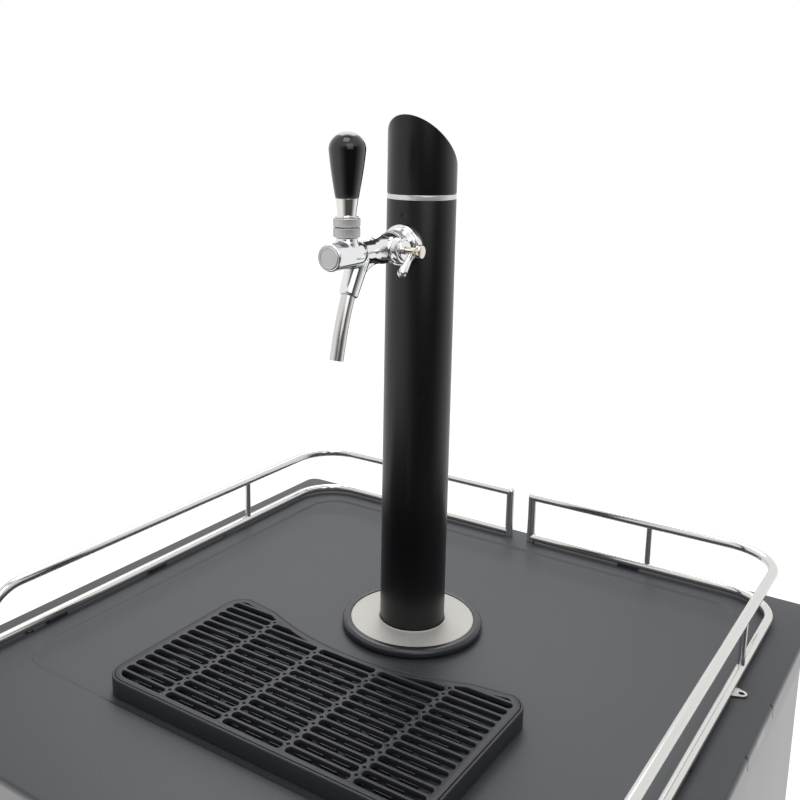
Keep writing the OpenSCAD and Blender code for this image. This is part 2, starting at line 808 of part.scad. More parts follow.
// Chromed tap body: barrel, neck, lever's boss, flow control's boss and spout's socket
module tap_body() {
    color([0.85, 0.85, 0.86]) at_column() translate([0, 0, tap_line_z]) difference() {
        union() {
            along_y(neck_r, neck_back, neck_front + 2);
            along_y(barrel_r, neck_front, barrel_front);
            along_y(coupling_r - 1, neck_back, flow_y + flow_r);
            translate([0, -lever_y, 0]) cylinder(r = boss_r, h = boss_top);
            translate([0, -flow_y, 0]) along_x(flow_r, 0, boss_reach);
            translate([0, socket_y, 0]) rotate([-spout_lean, 0, 0]) translate([0, 0, -socket_len])
                cylinder(r1 = socket_low_r, r2 = socket_top_r, h = socket_len);
            web();
        }
        along_y(barrel_bore, flow_y + 22, barrel_front + 1);
        along_y(cone_r + 0.6, flow_y - 6, flow_y + 23);
        along_y(shank_bore / 2, neck_back - 1, flow_y);
        along_y(plug_r + seat_gap, barrel_front - plug_t + 1, barrel_front + 1);
        translate([0, -lever_y, 0]) stem_slot(boss_top + 1);
        translate([0, -lever_y, 0]) along_x(pivot_r + run_gap, -barrel_r + 1, barrel_r - 1);
        translate([0, -flow_y, 0]) along_x(spindle_r + 1, 0, boss_reach + 1);
        translate([0, socket_y, 0]) rotate([-spout_lean, 0, 0]) translate([0, 0, -socket_len - 1])
            cylinder(d = spout_d + 2 * curve_gap, h = socket_len - spout_top + 1.5);
        translate([0, socket_y, 0]) rotate([-spout_lean, 0, 0]) translate([0, 0, -socket_len])
            cylinder(d = spout_bore, h = socket_len);
    }
}

// Web behind the spout's socket
module web() {
    translate([-web_t / 2, 0, 0]) rotate([90, 0, 90]) linear_extrude(web_t) polygon([
        [-flow_y - flow_r + 2, -neck_r + 3], [-flow_y - flow_r + 2, -neck_r - 1], [-80, -neck_r - 4],
        [socket_y - 4, -33], [socket_y - 12, -34], [socket_y - 10, -neck_r + 3]]);
}

// Upright slot of height h in which the lever's stem swings towards the front
module stem_slot(h) {
    half = stem_r + 0.4;
    translate([-half, 0, 0]) rotate([90, 0, 90]) linear_extrude(2 * half)
        polygon([[-half, -1], [half, -1], [half, h], [-h * tan(lever_max) - half, h]]);
}

// Plain disc that closes the barrel
module front_plug() {
    color([0.8, 0.8, 0.8]) at_column() translate([0, 0, tap_line_z]) difference() {
        along_y(plug_r, barrel_front - plug_t + 1 + seat_gap, barrel_front + 0.6);
        along_y(plug_r - 2, barrel_front + 0.2, barrel_front + 2);
    }
}

// Stainless spout: it leaves the socket leaning forward, bends down and ends straight
module spout() {
    low = spout_lean - spout_bend;
    bend_dy = spout_bend_r * (1 - cos(spout_bend));
    bend_dz = spout_bend_r * sin(spout_bend);
    end_y = socket_y - spout_top * sin(spout_lean) - bend_dy * cos(low) - bend_dz * sin(low);
    end_z = -spout_top * cos(spout_lean) + bend_dy * sin(low) - bend_dz * cos(low);
    color([0.75, 0.74, 0.72]) at_column() translate([0, end_y, tap_line_z + end_z]) rotate([-low, 0, 0])
        difference() {
            union() {
                translate([0, 0, -spout_end]) cylinder(d = spout_d, h = spout_end);
                spout_arc(spout_d);
            }
            translate([0, 0, -spout_end - 1]) cylinder(d = spout_bore, h = spout_end + 1);
            spout_arc(spout_bore);
        }
}

// Bent stretch of the spout
module spout_arc(d) {
    translate([0, spout_bend_r, 0]) rotate([0, -90, 0]) rotate([0, 0, -90])
        rotate_extrude(angle = spout_bend) translate([spout_bend_r, 0]) circle(d = d);
}

// Lower knurled collar, fixed on the tap: its top is part of a ball round the lever's pivot
module tap_collar() {
    color([0.8, 0.8, 0.8]) at_lever() difference() {
        intersection() {
            translate([0, 0, boss_top]) cylinder(r = collar_r, h = dome_r);
            sphere(r = dome_r, $fn = 96);
        }
        stem_slot(dome_r + 1);
    }
}

// Lever: cross pin, stem, finger and the upper knurled collar in one
module tap_lever() {
    color([0.8, 0.8, 0.8]) at_lever() {
        along_x(pivot_r, -barrel_r + 2, barrel_r - 2);
        sphere(r = ball_r);
        translate([0, 0, -finger_len - 1]) cylinder(r = finger_r, h = finger_len + 1);
        cylinder(r = stem_r, h = collar_top + ferrule_h);
        difference() {
            cylinder(r = collar_r, h = collar_top);
            sphere(r = dome_r + 0.3, $fn = 96);
        }
    }
}

// Valve that the lever's finger pushes off its seat
module tap_shuttle() {
    color([0.7, 0.7, 0.68]) at_column() translate([0, 0, tap_line_z]) difference() {
        union() {
            along_y(shuttle_r, shuttle_front - shuttle_len, shuttle_front);
            along_y(barrel_bore - 0.3, shuttle_front - shuttle_len + 4, shuttle_front - shuttle_len + 8);
        }
        translate([0, -lever_y, 0]) sphere(r = ball_r + move_gap);
        translate([-stem_r - 1, -lever_y - 5, 0]) cube([2 * stem_r + 2, 12, barrel_r]);
    }
}

// Tapered bright ferrule between the collar and the handle
module handle_ferrule() {
    color([0.85, 0.83, 0.8]) at_lever() difference() {
        translate([0, 0, collar_top]) cylinder(r1 = ferrule_low_r, r2 = ferrule_top_r, h = ferrule_h);
        translate([0, 0, collar_top - 1]) cylinder(r = stem_r + run_gap, h = ferrule_h + 2);
    }
}

// Pear-shaped black handle
module handle_grip() {
    neck = ferrule_top_r + 0.3;
    dome_z = handle_h - handle_r;
    swell = [for (i = [1:8]) [neck + (handle_r - neck) * sin(90 * i / 8), 1 + (dome_z - 1) * i / 8]];
    dome = [for (i = [1:9]) [handle_r * cos(10 * i), dome_z + handle_r * sin(10 * i)]];
    color([0.03, 0.03, 0.03]) at_lever() translate([0, 0, collar_top + ferrule_h]) rotate_extrude()
        polygon(concat([[0, 0], [ferrule_top_r, 0], [neck, 1]], swell, dome));
}

// Bonnet of the flow control on the tap's right side
module flow_block() {
    color([0.85, 0.85, 0.86]) at_column() translate([0, -flow_y, tap_line_z]) difference() {
        union() {
            along_x(flow_r, boss_reach, flow_reach - 2);
            along_x(flow_r - 2, flow_reach - 2 - eps, flow_reach);
        }
        along_x(spindle_r + run_gap, boss_reach - 1, flow_reach + 1);
    }
}

// Spindle of the flow control: head, shaft and crank pin
module flow_knob() {
    color([0.8, 0.76, 0.62]) at_column() translate([0, -flow_y, tap_line_z]) {
        along_x(spindle_r, spindle_in, spindle_reach - head_t);
        along_x(head_r, spindle_reach - head_t, spindle_reach);
        translate([0, 0, -crank_r]) along_x(crank_pin_r, cone_r + 1, spindle_in);
    }
}

// Lever screwed across the spindle, hanging forward
module flow_lever() {
    root_z = spindle_r + seat_gap;
    tip_z = -flow_lever_len + lever_tip_r;
    color([0.85, 0.85, 0.86]) at_column() translate([lever_x, -flow_y, tap_line_z])
        rotate([-flow_lever_lean, 0, 0]) difference() {
            union() {
                translate([0, 0, tip_z]) cylinder(r1 = lever_tip_r, r2 = lever_root_r, h = -root_z - tip_z);
                translate([0, 0, tip_z]) sphere(r = lever_tip_r);
            }
            translate([0, 0, tip_z]) along_x(lever_hole_r, -lever_tip_r - 1, lever_tip_r + 1);
        }
}

// Cone that slides in the neck and throttles the beer
module flow_cone() {
    color([0.75, 0.75, 0.72]) at_column() translate([0, -cone_y, tap_line_z]) rotate([90, 0, 0])
        difference() {
            translate([0, 0, -cone_len / 2]) cylinder(r1 = cone_r - 1.6, r2 = cone_r, h = cone_len);
            translate([0, 0, cone_len / 2 - 6]) cylinder(r = 1.5, h = 7);
        }
}

// ---------------------------------------------------------------- drip tray

// Tray's frame: the column's, moved sideways
module at_tray() {
    at_column() translate([tray_shift, 0, 0]) children();
}

// Outline of the tray in its frame, drawn in by a distance d on all sides
function tray_points(d) =
    let (x = tray_w / 2 - d, f = -tray_front + d, b = -tray_back - d, r = tray_r - d)
    let (cy = tray_arc_r - tray_notch)
    let (R = tray_arc_r + d)
    let (half = asin(min(0.95, (tray_notch_half - 12) / R)))
    concat(
        arc_points(x - r, f + r, r, -90, 0, 6),
        arc_points(x - r, b - r, r, 0, 75, 6),
        [for (i = [0:16]) let (a = -90 + half - 2 * half * i / 16) [R * cos(a), cy + R * sin(a)]],
        arc_points(-x + r, b - r, r, 105, 180, 6),
        arc_points(-x + r, f + r, r, 180, 270, 6));

// Pan with a floor, walls and a ledge for the grille
module tray_pan() {
    color([0.05, 0.05, 0.055]) at_tray() difference() {
        linear_extrude(tray_h) polygon(tray_points(0));
        translate([0, 0, tray_h - grille_t]) linear_extrude(grille_t + 1) polygon(tray_points(tray_wall));
        translate([0, 0, tray_floor]) linear_extrude(tray_h) polygon(tray_points(tray_wall + ledge_w));
    }
}

// A slot's end, kept inside the grille's rim
function slot_end(x) = sign(x) * min(abs(x), tray_w / 2 - tray_wall - grille_gap - grille_rim);

// A round-ended slot between two places across the tray
module slot(x0, x1) {
    translate([(x0 + x1) / 2, 0]) square([x1 - x0 - slot_w, slot_w], center = true);
    for (x = [x0 + slot_w / 2, x1 - slot_w / 2]) translate([x, 0]) circle(d = slot_w, $fn = 24);
}

// Grille with rows of long slots and ribs of small holes
module tray_grille() {
    rim = tray_wall + grille_gap;
    first = -tray_front + grille_rim;
    half = slot_len / 2;
    color([0.05, 0.05, 0.055]) at_tray() translate([0, 0, tray_h - grille_t + 0.05])
        linear_extrude(grille_t) difference() {
            polygon(tray_points(rim));
            intersection() {
                polygon(tray_points(rim + grille_rim - 1));
                for (i = [-2:2]) for (j = [0:slot_rows])
                    translate([0, first + slot_pitch * (j + 0.5)])
                        slot(slot_end(i * slot_column - half), slot_end(i * slot_column + half));
            }
            intersection() {
                polygon(tray_points(rim + grille_rim + 1));
                for (i = [-2:1]) for (j = [1:slot_rows])
                    translate([(i + 0.5) * slot_column, first + slot_pitch * j])
                        rotate(45) square(rib_hole_d, center = true);
            }
        }
}

// ---------------------------------------------------------------- cabinet

module side_panel(s) {
    color([0.66, 0.67, 0.68]) translate([s > 0 ? foam_x : -foam_x - panel_t, cab_front, cabinet_bottom])
        cube([panel_t, cab_back - cab_front, under_z - cabinet_bottom]);
}

module side_panel_left() {
    side_panel(-1);
}

module side_panel_right() {
    side_panel(1);
}

// Rear sheet with louvres over the compressor's bay, and holes for the inlets
module back_panel() {
    color([0.35, 0.36, 0.37]) difference() {
        translate([-foam_x, foam_back, cabinet_bottom]) cube([2 * foam_x, panel_t, under_z - cabinet_bottom]);
        for (i = [0:louvres - 1])
            translate([louvre_x, foam_back - 1, foam_bottom + louvre_z + louvre_pitch * i])
                cube([louvre_w, panel_t + 2, louvre_h]);
        translate([gas_x, foam_back - 1, gas_z]) rotate([-90, 0, 0]) cylinder(r = gas_r, h = panel_t + 2);
        translate([inlet_x - inlet_w / 2, foam_back - 1, inlet_z - inlet_h / 2])
            cube([inlet_w, panel_t + 2, inlet_h]);
    }
}

// Sheet that closes the cabinet below and carries the castors
module base_pan() {
    color([0.35, 0.36, 0.37]) translate([-foam_x, cab_front, cabinet_bottom])
        cube([2 * foam_x, foam_back - cab_front, panel_t]);
}

// A foam slab across the cabinet, from y0 to y1 and from z0 to z1, glued between the side slabs
module cross_slab(y0, y1, z0, z1) {
    half = liner_x - foam_joint;
    translate([-half, y0, z0]) cube([2 * half, y1 - y0, z1 - z0]);
}

// Seven foam slabs: two sides, a ceiling with the beer line's throat, a rear wall with the gas hole,
// a floor, and a riser and a shelf round the compressor's bay
module cabinet_foam() {
    shelf_z = foam_bottom + bay_h;
    ceiling_low = under_z - foam_t;
    color([0.9, 0.88, 0.78]) {
        for (x = [-foam_x, liner_x]) translate([x, cab_front, foam_bottom])
            cube([foam_t, foam_back - cab_front, under_z - foam_bottom]);
        difference() {
            cross_slab(cab_front, foam_back, ceiling_low, under_z);
            at_column() translate([0, 0, -worktop_t - foam_t - 2])
                cylinder(d = throat_d, h = foam_t + worktop_t);
        }
        difference() {
            cross_slab(liner_back, foam_back, hump_z, ceiling_low - foam_joint);
            translate([gas_x, foam_back + 1, gas_z]) rotate([90, 0, 0]) cylinder(r = gas_r, h = foam_t + 2);
        }
        cross_slab(cab_front, hump_y - foam_joint, foam_bottom, floor_z);
        cross_slab(hump_y, hump_y + foam_t, foam_bottom, shelf_z - foam_joint);
        cross_slab(hump_y, foam_back, shelf_z, hump_z - foam_joint);
    }
}

// White inner liner with a stepped floor over the compressor's bay
module cabinet_liner() {
    wall_x = liner_x - liner_t;
    low = floor_z + liner_t;
    high = under_z - foam_t;
    step_h = hump_z - floor_z;
    color([0.93, 0.93, 0.93]) difference() {
        translate([-liner_x, cab_front, floor_z]) cube([2 * liner_x, liner_back - cab_front, high - floor_z]);
        difference() {
            translate([-wall_x, cab_front - 1, low])
                cube([2 * wall_x, liner_back - cab_front + 1 - liner_t, high - low - liner_t]);
            translate([-liner_x, hump_y - liner_t, floor_z]) cube([2 * liner_x, liner_back, step_h + liner_t]);
        }
        translate([-liner_x - 1, hump_y, floor_z - 1]) cube([2 * liner_x + 2, liner_back, step_h + 1]);
        translate([0, column_y + bend_y, ceiling_z - 1]) cylinder(d = line_d + 1, h = liner_t + 2);
        translate([gas_x, liner_back + 1, gas_z]) rotate([90, 0, 0]) cylinder(r = gas_r, h = liner_t + 2);
    }
}

// Flat evaporator on the liner's rear wall, with shallow grooves
module evaporator_plate() {
    face_y = liner_back - liner_t - plate_t;
    low = ceiling_z - evap_margin - evap_h;
    color([0.75, 0.76, 0.78]) difference() {
        translate([-evap_w / 2, face_y, low]) cube([evap_w, plate_t, evap_h]);
        for (z = [evap_margin:evap_pitch:evap_h - evap_margin])
            translate([-evap_w / 2 + evap_margin, face_y - 1, low + z])
                cube([evap_w - 2 * evap_margin, 1 + plate_t / 3, groove_w]);
    }
}

// Frame of the circulation fan: a square ring, three ribs with the rotor's pin, and four legs
module fan_housing() {
    rib_y = fan_depth - fan_rib_t - 1;
    leg_at = fan_size / 2 - fan_leg_r - 1.5;
    leg_len = liner_back - liner_t - plate_t - fan_y - fan_depth;
    color([0.12, 0.12, 0.12]) translate([fan_x, fan_y, fan_z]) {
        difference() {
            translate([-fan_size / 2, 0, -fan_size / 2]) cube([fan_size, fan_depth, fan_size]);
            translate([0, -1, 0]) rotate([-90, 0, 0]) cylinder(r = fan_size / 2 - 4, h = fan_depth + 2);
        }
        for (i = [0:2]) rotate([0, 120 * i, 0])
            translate([-2, rib_y, 0]) cube([4, fan_rib_t, fan_size / 2 - 2]);
        translate([0, rib_y - 0.5, 0]) rotate([-90, 0, 0]) cylinder(r = 8, h = fan_rib_t + 1);
        translate([0, fan_hub_y + 1, 0]) rotate([-90, 0, 0]) cylinder(r = fan_pin_r, h = rib_y - fan_hub_y);
        for (x = [-leg_at, leg_at]) for (z = [-leg_at, leg_at]) translate([x, fan_depth - 2, z])
            rotate([-90, 0, 0]) cylinder(r = fan_leg_r, h = leg_len + 2);
    }
}

// Fan rotor: hub and seven blades
module fan_rotor() {
    color([0.15, 0.15, 0.15]) translate([fan_x, fan_y, fan_z]) difference() {
        union() {
            translate([0, fan_hub_y, 0]) rotate([-90, 0, 0]) cylinder(r = fan_hub_r, h = fan_hub_len);
            for (i = [0:fan_blades - 1]) rotate([0, i * 360 / fan_blades, 0])
                translate([fan_hub_r - 2, fan_hub_y + fan_hub_len / 2, 0]) rotate([fan_blade_tilt, 0, 0])
                    translate([0, -1, -fan_blade_w / 2]) cube([fan_blade_r - fan_hub_r, 2, fan_blade_w]);
        }
        translate([0, fan_hub_y + 0.5, 0]) rotate([-90, 0, 0])
            cylinder(r = fan_pin_r + run_gap, h = fan_depth);
    }
}

// Hermetic compressor on its foot plate
module compressor() {
    shell_h = compressor_h - foot_t;
    color([0.06, 0.06, 0.06]) translate([compressor_x, foam_back - bay_d / 2, foam_bottom]) {
        translate([-foot_w / 2, -foot_d / 2, 0]) cube([foot_w, foot_d, foot_t]);
        translate([0, 0, foot_t]) rotate_extrude() polygon(concat(
            [[0, 0]],
            arc_points(compressor_r - shell_foot_r, shell_foot_r, shell_foot_r, -90, 0, 4),
            arc_points(compressor_r - shell_dome_r, shell_h - shell_dome_r, shell_dome_r, 0, 90, 6),
            [[0, shell_h]]));
        translate([0, 0, stub_z]) along_x(stub_r, compressor_r - 2, compressor_r - 2 + stub_len);
    }
}

// Control fascia above the door, with a bare display window and two button guides
module control_panel() {
    mid_z = fascia_z + fascia_h / 2;
    color([0.1, 0.1, 0.11]) difference() {
        translate([-cabinet_w / 2, door_front, fascia_z]) cube([cabinet_w, cab_front - door_front, fascia_h]);
        translate([-window_w / 2, door_front - 1, mid_z - window_h / 2]) cube([window_w, 2, window_h]);
        for (s = [-1, 1]) translate([s * button_x, door_front - 1, mid_z]) rotate([-90, 0, 0])
            cylinder(r = button_r + 0.3, h = panel_pocket + 1);
    }
}

module button(s) {
    color([0.5, 0.5, 0.5]) translate([s * button_x, button_y - button_travel, fascia_z + fascia_h / 2])
        rotate([-90, 0, 0]) cylinder(r = button_r, h = button_len);
}

module button_up() {
    button(1);
}

module button_down() {
    button(-1);
}

// Mains inlet in the rear sheet
module power_inlet() {
    color([0.03, 0.03, 0.03]) translate([inlet_x, foam_back, inlet_z]) difference() {
        translate([-inlet_w / 2, -inlet_d, -inlet_h / 2]) cube([inlet_w, inlet_d + panel_t, inlet_h]);
        translate([-socket_w / 2, -socket_d, -socket_h / 2]) cube([socket_w, inlet_d + panel_t, socket_h]);
    }
}

// Hinge brackets above and below the door, each with its pin
module door_hinges() {
    reach = cab_front - hinge_y + bracket_front;
    top_z = fascia_z - bracket_t;
    low_z = cabinet_bottom - bracket_t;
    upper_end = door_top - pin_depth + pin_gap;
    lower_end = door_low + pin_depth - pin_gap;
    color([0.6, 0.6, 0.6]) translate([hinge_x, hinge_y, 0]) {
        translate([bracket_out - bracket_w, -bracket_front, top_z]) cube([bracket_w, reach, bracket_t]);
        translate([0, 0, upper_end]) cylinder(r = hinge_pin_r, h = top_z + pin_bite - upper_end);
        translate([bracket_out - bracket_w, -bracket_front, low_z])
            cube([bracket_w, reach + bracket_tail, bracket_t]);
        translate([0, 0, low_z + pin_bite]) cylinder(r = hinge_pin_r, h = lower_end - low_z - pin_bite);
    }
}

// ---------------------------------------------------------------- door

// Sheet steel face of the door, folded back on all four sides
module door_skin() {
    door_h = door_top - door_low;
    color([0.1, 0.1, 0.11]) difference() {
        translate([-door_x, door_front, door_low]) cube([2 * door_x, door_t, door_h]);
        translate([-door_x + panel_t, door_front + panel_t, door_low + panel_t])
            cube([2 * (door_x - panel_t), door_t, door_h - 2 * panel_t]);
        translate([hinge_x, hinge_y, door_low - 1]) cylinder(r = hinge_pin_r + 1, h = door_h + 2);
    }
}

// Foamed core with the white inner face of the door
module door_core() {
    color([0.93, 0.93, 0.93]) difference() {
        translate([-door_x + panel_t, door_front + panel_t, door_low + panel_t])
            cube([2 * (door_x - panel_t), door_t - panel_t, door_top - door_low - 2 * panel_t]);
        for (z = [door_low, door_top - pin_depth])
            translate([hinge_x, hinge_y, z - 1]) cylinder(r = hinge_pin_r + run_gap, h = pin_depth + 2);
    }
}

// Magnetic seal round the inner face of the door
module door_gasket() {
    half = door_x - seal_in;
    low = door_low + seal_in;
    high = door_top - seal_in;
    color([0.8, 0.8, 0.8]) difference() {
        translate([-half, door_back, low]) cube([2 * half, seal_t - move_gap, high - low]);
        translate([-half + seal_w, door_back - 1, low + seal_w])
            cube([2 * (half - seal_w), seal_t + 2, high - low - 2 * seal_w]);
    }
}

// Bar handle on two posts
module door_handle() {
    color([0.8, 0.8, 0.8]) translate([pull_x, pull_y, pull_z]) {
        translate([0, 0, -pull_len / 2]) cylinder(d = pull_d, h = pull_len);
        for (s = [-1, 1]) translate([0, 0, s * (pull_len / 2 - pull_post_in)]) rotate([-90, 0, 0])
            cylinder(d = pull_post_d, h = door_front - pull_y);
    }
}

// ---------------------------------------------------------------- castors

// One wheel, standing on the floor
module wheel(x, y) {
    color([0.12, 0.12, 0.12]) translate([x, y, wheel_r]) rotate([0, 90, 0]) difference() {
        cylinder(r = wheel_r, h = wheel_w, center = true);
        cylinder(r = axle_r + run_gap, h = wheel_w + 2, center = true);
        for (s = [-1, 1]) translate([0, 0, s * wheel_w / 2]) difference() {
            cylinder(r = wheel_r - tread_t, h = 2 * dish, center = true);
            cylinder(r = axle_r + eye_w, h = 2 * dish + 1, center = true);
        }
    }
}

// Fork with its axle: two cheeks under a plate
module fork(top) {
    eye = axle_r + eye_w;
    cheek = [[-wheel_r - eye_w + 1, 1 - eye], [-wheel_r + eye_w - 1, eye - 1],
        [-top, castor_trail + race_r], [-top, castor_trail - race_r]];
    for (s = [-1, 1]) translate([s * (fork_in + fork_t / 2), 0, 0]) rotate([0, 90, 0])
        linear_extrude(fork_t, center = true) {
            translate([-wheel_r, 0]) circle(r = eye);
            polygon(cheek);
        }
    translate([-fork_in - fork_t, castor_trail - race_r, top - fork_t])
        cube([2 * (fork_in + fork_t), 2 * race_r, fork_t]);
    translate([0, 0, wheel_r]) along_x(axle_r, -fork_in - fork_t - axle_head, fork_in + fork_t + axle_head);
}

// Plates of the front castors with their pivots, and the rigid rear castors
module castor_mounts() {
    plate_z = cabinet_bottom - castor_plate_t;
    race_z = fork_top + move_gap;
    stem_z = fork_top - fork_t - stem_drop;
    color([0.7, 0.7, 0.7]) for (s = [-1, 1]) {
        translate([s * castor_x, castor_front_y, 0]) {
            translate([-plate_w / 2, -plate_w / 2, plate_z]) cube([plate_w, plate_w, castor_plate_t]);
            translate([0, 0, race_z]) cylinder(r = race_r, h = plate_z + race_bite - race_z);
            translate([0, 0, stem_z]) cylinder(r = stem_pin_r, h = fork_t + stem_drop + stem_bite);
        }
        translate([s * castor_x, castor_rear_y, 0]) {
            translate([-plate_w / 2, -plate_w / 2, plate_z]) cube([plate_w, plate_w, castor_plate_t]);
            translate([0, -castor_trail, 0]) fork(plate_z + race_bite);
        }
    }
}

// Swivelling fork, whose wheel trails behind the pivot
module castor_fork(s) {
    color([0.7, 0.7, 0.7]) translate([s * castor_x, castor_front_y - castor_trail, 0])
    difference() {
        fork(fork_top);
        translate([0, castor_trail, fork_top - fork_t - 1])
            cylinder(r = stem_pin_r + run_gap, h = fork_t + 2);
    }
}

module castor_fork_left() {
    castor_fork(-1);
}

module castor_fork_right() {
    castor_fork(1);
}

module wheel_front_left() {
    wheel(-castor_x, castor_front_y - castor_trail);
}

module wheel_front_right() {
    wheel(castor_x, castor_front_y - castor_trail);
}

module wheel_rear_left() {
    wheel(-castor_x, castor_rear_y - castor_trail);
}

module wheel_rear_right() {
    wheel(castor_x, castor_rear_y - castor_trail);
}

worktop();
rail_left();
rail_right();
rail_pads();
tower_column();
tower_cap();
cap_ring();
cap_screw();
base_flange();
base_cover();
base_gasket();
flange_screws();
tower_foam();
beer_line();
beer_connector();
shank();
shank_nut();
shank_saddle();
tail_elbow();
coupling_ring();
tap_body();
front_plug();
spout();
tap_collar();
flow_block();
tap_shuttle();
tap_lever();
handle_ferrule();
handle_grip();
flow_knob();
flow_lever();
flow_cone();
tray_pan();
tray_grille();
side_panel_left();
side_panel_right();
back_panel();
base_pan();
cabinet_foam();
cabinet_liner();
evaporator_plate();
fan_housing();
fan_rotor();
compressor();
control_panel();
button_up();
button_down();
power_inlet();
door_hinges();
door_skin();
door_core();
door_gasket();
door_handle();
castor_mounts();
castor_fork_left();
castor_fork_right();
wheel_front_left();
wheel_front_right();
wheel_rear_left();
wheel_rear_right();
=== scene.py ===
# Beer dispenser: a keg cabinet on castors with a guard-railed worktop, a one-tap column and a drip tray.
# Metres, +Z up, the front towards -Y. The sections follow the order in which the dispenser is put together.
import math

import bmesh
import bpy
from mathutils import Matrix, Vector


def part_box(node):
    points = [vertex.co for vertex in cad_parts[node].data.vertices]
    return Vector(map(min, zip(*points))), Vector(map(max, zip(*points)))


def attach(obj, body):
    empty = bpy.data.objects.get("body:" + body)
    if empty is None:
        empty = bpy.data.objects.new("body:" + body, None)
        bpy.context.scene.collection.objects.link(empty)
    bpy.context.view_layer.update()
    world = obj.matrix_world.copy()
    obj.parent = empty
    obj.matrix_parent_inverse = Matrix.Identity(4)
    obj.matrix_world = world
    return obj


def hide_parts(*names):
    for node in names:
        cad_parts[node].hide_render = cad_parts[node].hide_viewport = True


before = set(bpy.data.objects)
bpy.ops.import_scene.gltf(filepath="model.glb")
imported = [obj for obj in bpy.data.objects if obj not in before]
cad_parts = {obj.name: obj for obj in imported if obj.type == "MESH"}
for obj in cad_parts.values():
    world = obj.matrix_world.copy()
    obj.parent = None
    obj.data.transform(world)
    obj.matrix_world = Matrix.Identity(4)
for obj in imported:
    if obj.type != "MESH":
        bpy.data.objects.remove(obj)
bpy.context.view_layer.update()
scene = bpy.context.scene
scene.view_settings.view_transform = "Standard"

# ---------------------------------------------------------------- camera
# The photograph is taken from the front right, a little above the tap's handle, and looks slightly
# down. The picture is a crop, so the lens is shifted a little.
camera_at = Vector((0.4355, -0.6615, 1.3111))
camera_yaw, camera_pitch, camera_roll = 34.615, 11.645, 0.548
lens_mm, shift_right, shift_up = 44.224, 0.0586, -0.0925

camera = bpy.data.objects.new("camera", bpy.data.cameras.new("camera"))
scene.collection.objects.link(camera)
scene.camera = camera
camera.data.sensor_width = 36
camera.data.lens = lens_mm
camera.data.shift_x = shift_right
camera.data.shift_y = shift_up
camera.data.clip_start = 0.02
camera.matrix_world = (
    Matrix.Translation(camera_at)
    @ Matrix.Rotation(math.radians(camera_yaw), 4, "Z")
    @ Matrix.Rotation(math.radians(90 - camera_pitch), 4, "X")
    @ Matrix.Rotation(math.radians(camera_roll), 4, "Z")
)

# ---------------------------------------------------------------- studio
# A white surround that lights from all sides, two soft lamps above, and a white floor that keeps the
# shadow. Mirrors see the white surround, a grey ceiling, and a dark room to the right of the camera.
class Wire:
    """A node's output. Sums and products of wires and numbers add Math nodes."""

    def __init__(self, finish, socket):
        self.finish = finish
        self.socket = socket

    def maths(self, operation, other, swap=False):
        pair = (other, self) if swap else (self, other)
        return self.finish.node("ShaderNodeMath", {"operation": operation}, dict(enumerate(pair)))

    def __add__(self, other):
        return self.maths("ADD", other)

    __radd__ = __add__

    def __sub__(self, other):
        return self.maths("SUBTRACT", other)

    def __rsub__(self, other):
        return self.maths("SUBTRACT", other, swap=True)

    def __mul__(self, other):
        return self.maths("MULTIPLY", other)

    __rmul__ = __mul__

    def __gt__(self, other):
        return self.maths("GREATER_THAN", other)

    def __lt__(self, other):
        return self.maths("LESS_THAN", other)

    def band(self, low, high):
        """0 below low, 1 above high, and even in between."""
        limits = {"Value": self, "From Min": low, "From Max": high}
        return self.finish.node("ShaderNodeMapRange", {"clamp": True}, limits)


class Nodes:
    """A node tree in which any node is made by one call."""

    def __init__(self, tree):
        self.tree = tree

    def node(self, kind, settings=None, inputs=None, output=0):
        made = self.tree.nodes.new(kind)
        for setting, value in (settings or {}).items():
            setattr(made, setting, value)
        for socket, value in (inputs or {}).items():
            if isinstance(value, Wire):
                self.tree.links.new(value.socket, made.inputs[socket])
            else:
                made.inputs[socket].default_value = value
        return Wire(self, made.outputs[output])


world = bpy.data.worlds.new("surround")
scene.world = world
world.use_nodes = True
surround = Nodes(world.node_tree)
ray = surround.node("ShaderNodeLightPath", output="Is Camera Ray")
seen_in_glass = surround.node("ShaderNodeLightPath", output="Is Transmission Ray")
seen_in_metal = surround.node("ShaderNodeLightPath", output="Is Glossy Ray")
direction = surround.node("ShaderNodeTexCoord", output="Generated")
room_way = (0.83, -0.56, 0.0)
towards_room = surround.node(
    "ShaderNodeVectorMath", {"operation": "DOT_PRODUCT"}, {0: direction, 1: room_way}, output="Value",
)
height = surround.node("ShaderNodeSeparateXYZ", inputs={0: direction}, output="Z")
room_dark = 0.93 * towards_room.band(0.2, 0.85)
ceiling_grey = 0.5 * height.band(0.9, 0.97)
fill_level = 0.62
mirror_level = 1.0 - room_dark * (1 - height.band(0.35, 0.5)) - ceiling_grey
scattered = 1 - ray - seen_in_glass - seen_in_metal
level = ray + seen_in_glass + seen_in_metal * mirror_level + scattered * fill_level
background = world.node_tree.nodes["Background"]
background.inputs["Color"].default_value = (1, 1, 1, 1)
world.node_tree.links.new(level.socket, background.inputs["Strength"])


def lamp(name, at, aim, size, watts):
    made = bpy.data.objects.new(name, bpy.data.lights.new(name, "AREA"))
    made.data.shape = "SQUARE"
    made.data.size = size
    made.data.energy = watts
    made.location = at
    made.rotation_euler = (Vector(aim) - Vector(at)).to_track_quat("-Z", "Y").to_euler()
    scene.collection.objects.link(made)


lamp("key_lamp", (-0.9, 1.3, 3.0), (0, 0, 0.9), 1.6, 24)
lamp("side_lamp", (1.9, -1.5, 2.4), (0, 0, 0.8), 1.8, 12)
lamp("top_lamp", (0.15, -0.45, 2.8), (0, 0, 0.8), 0.8, 6)

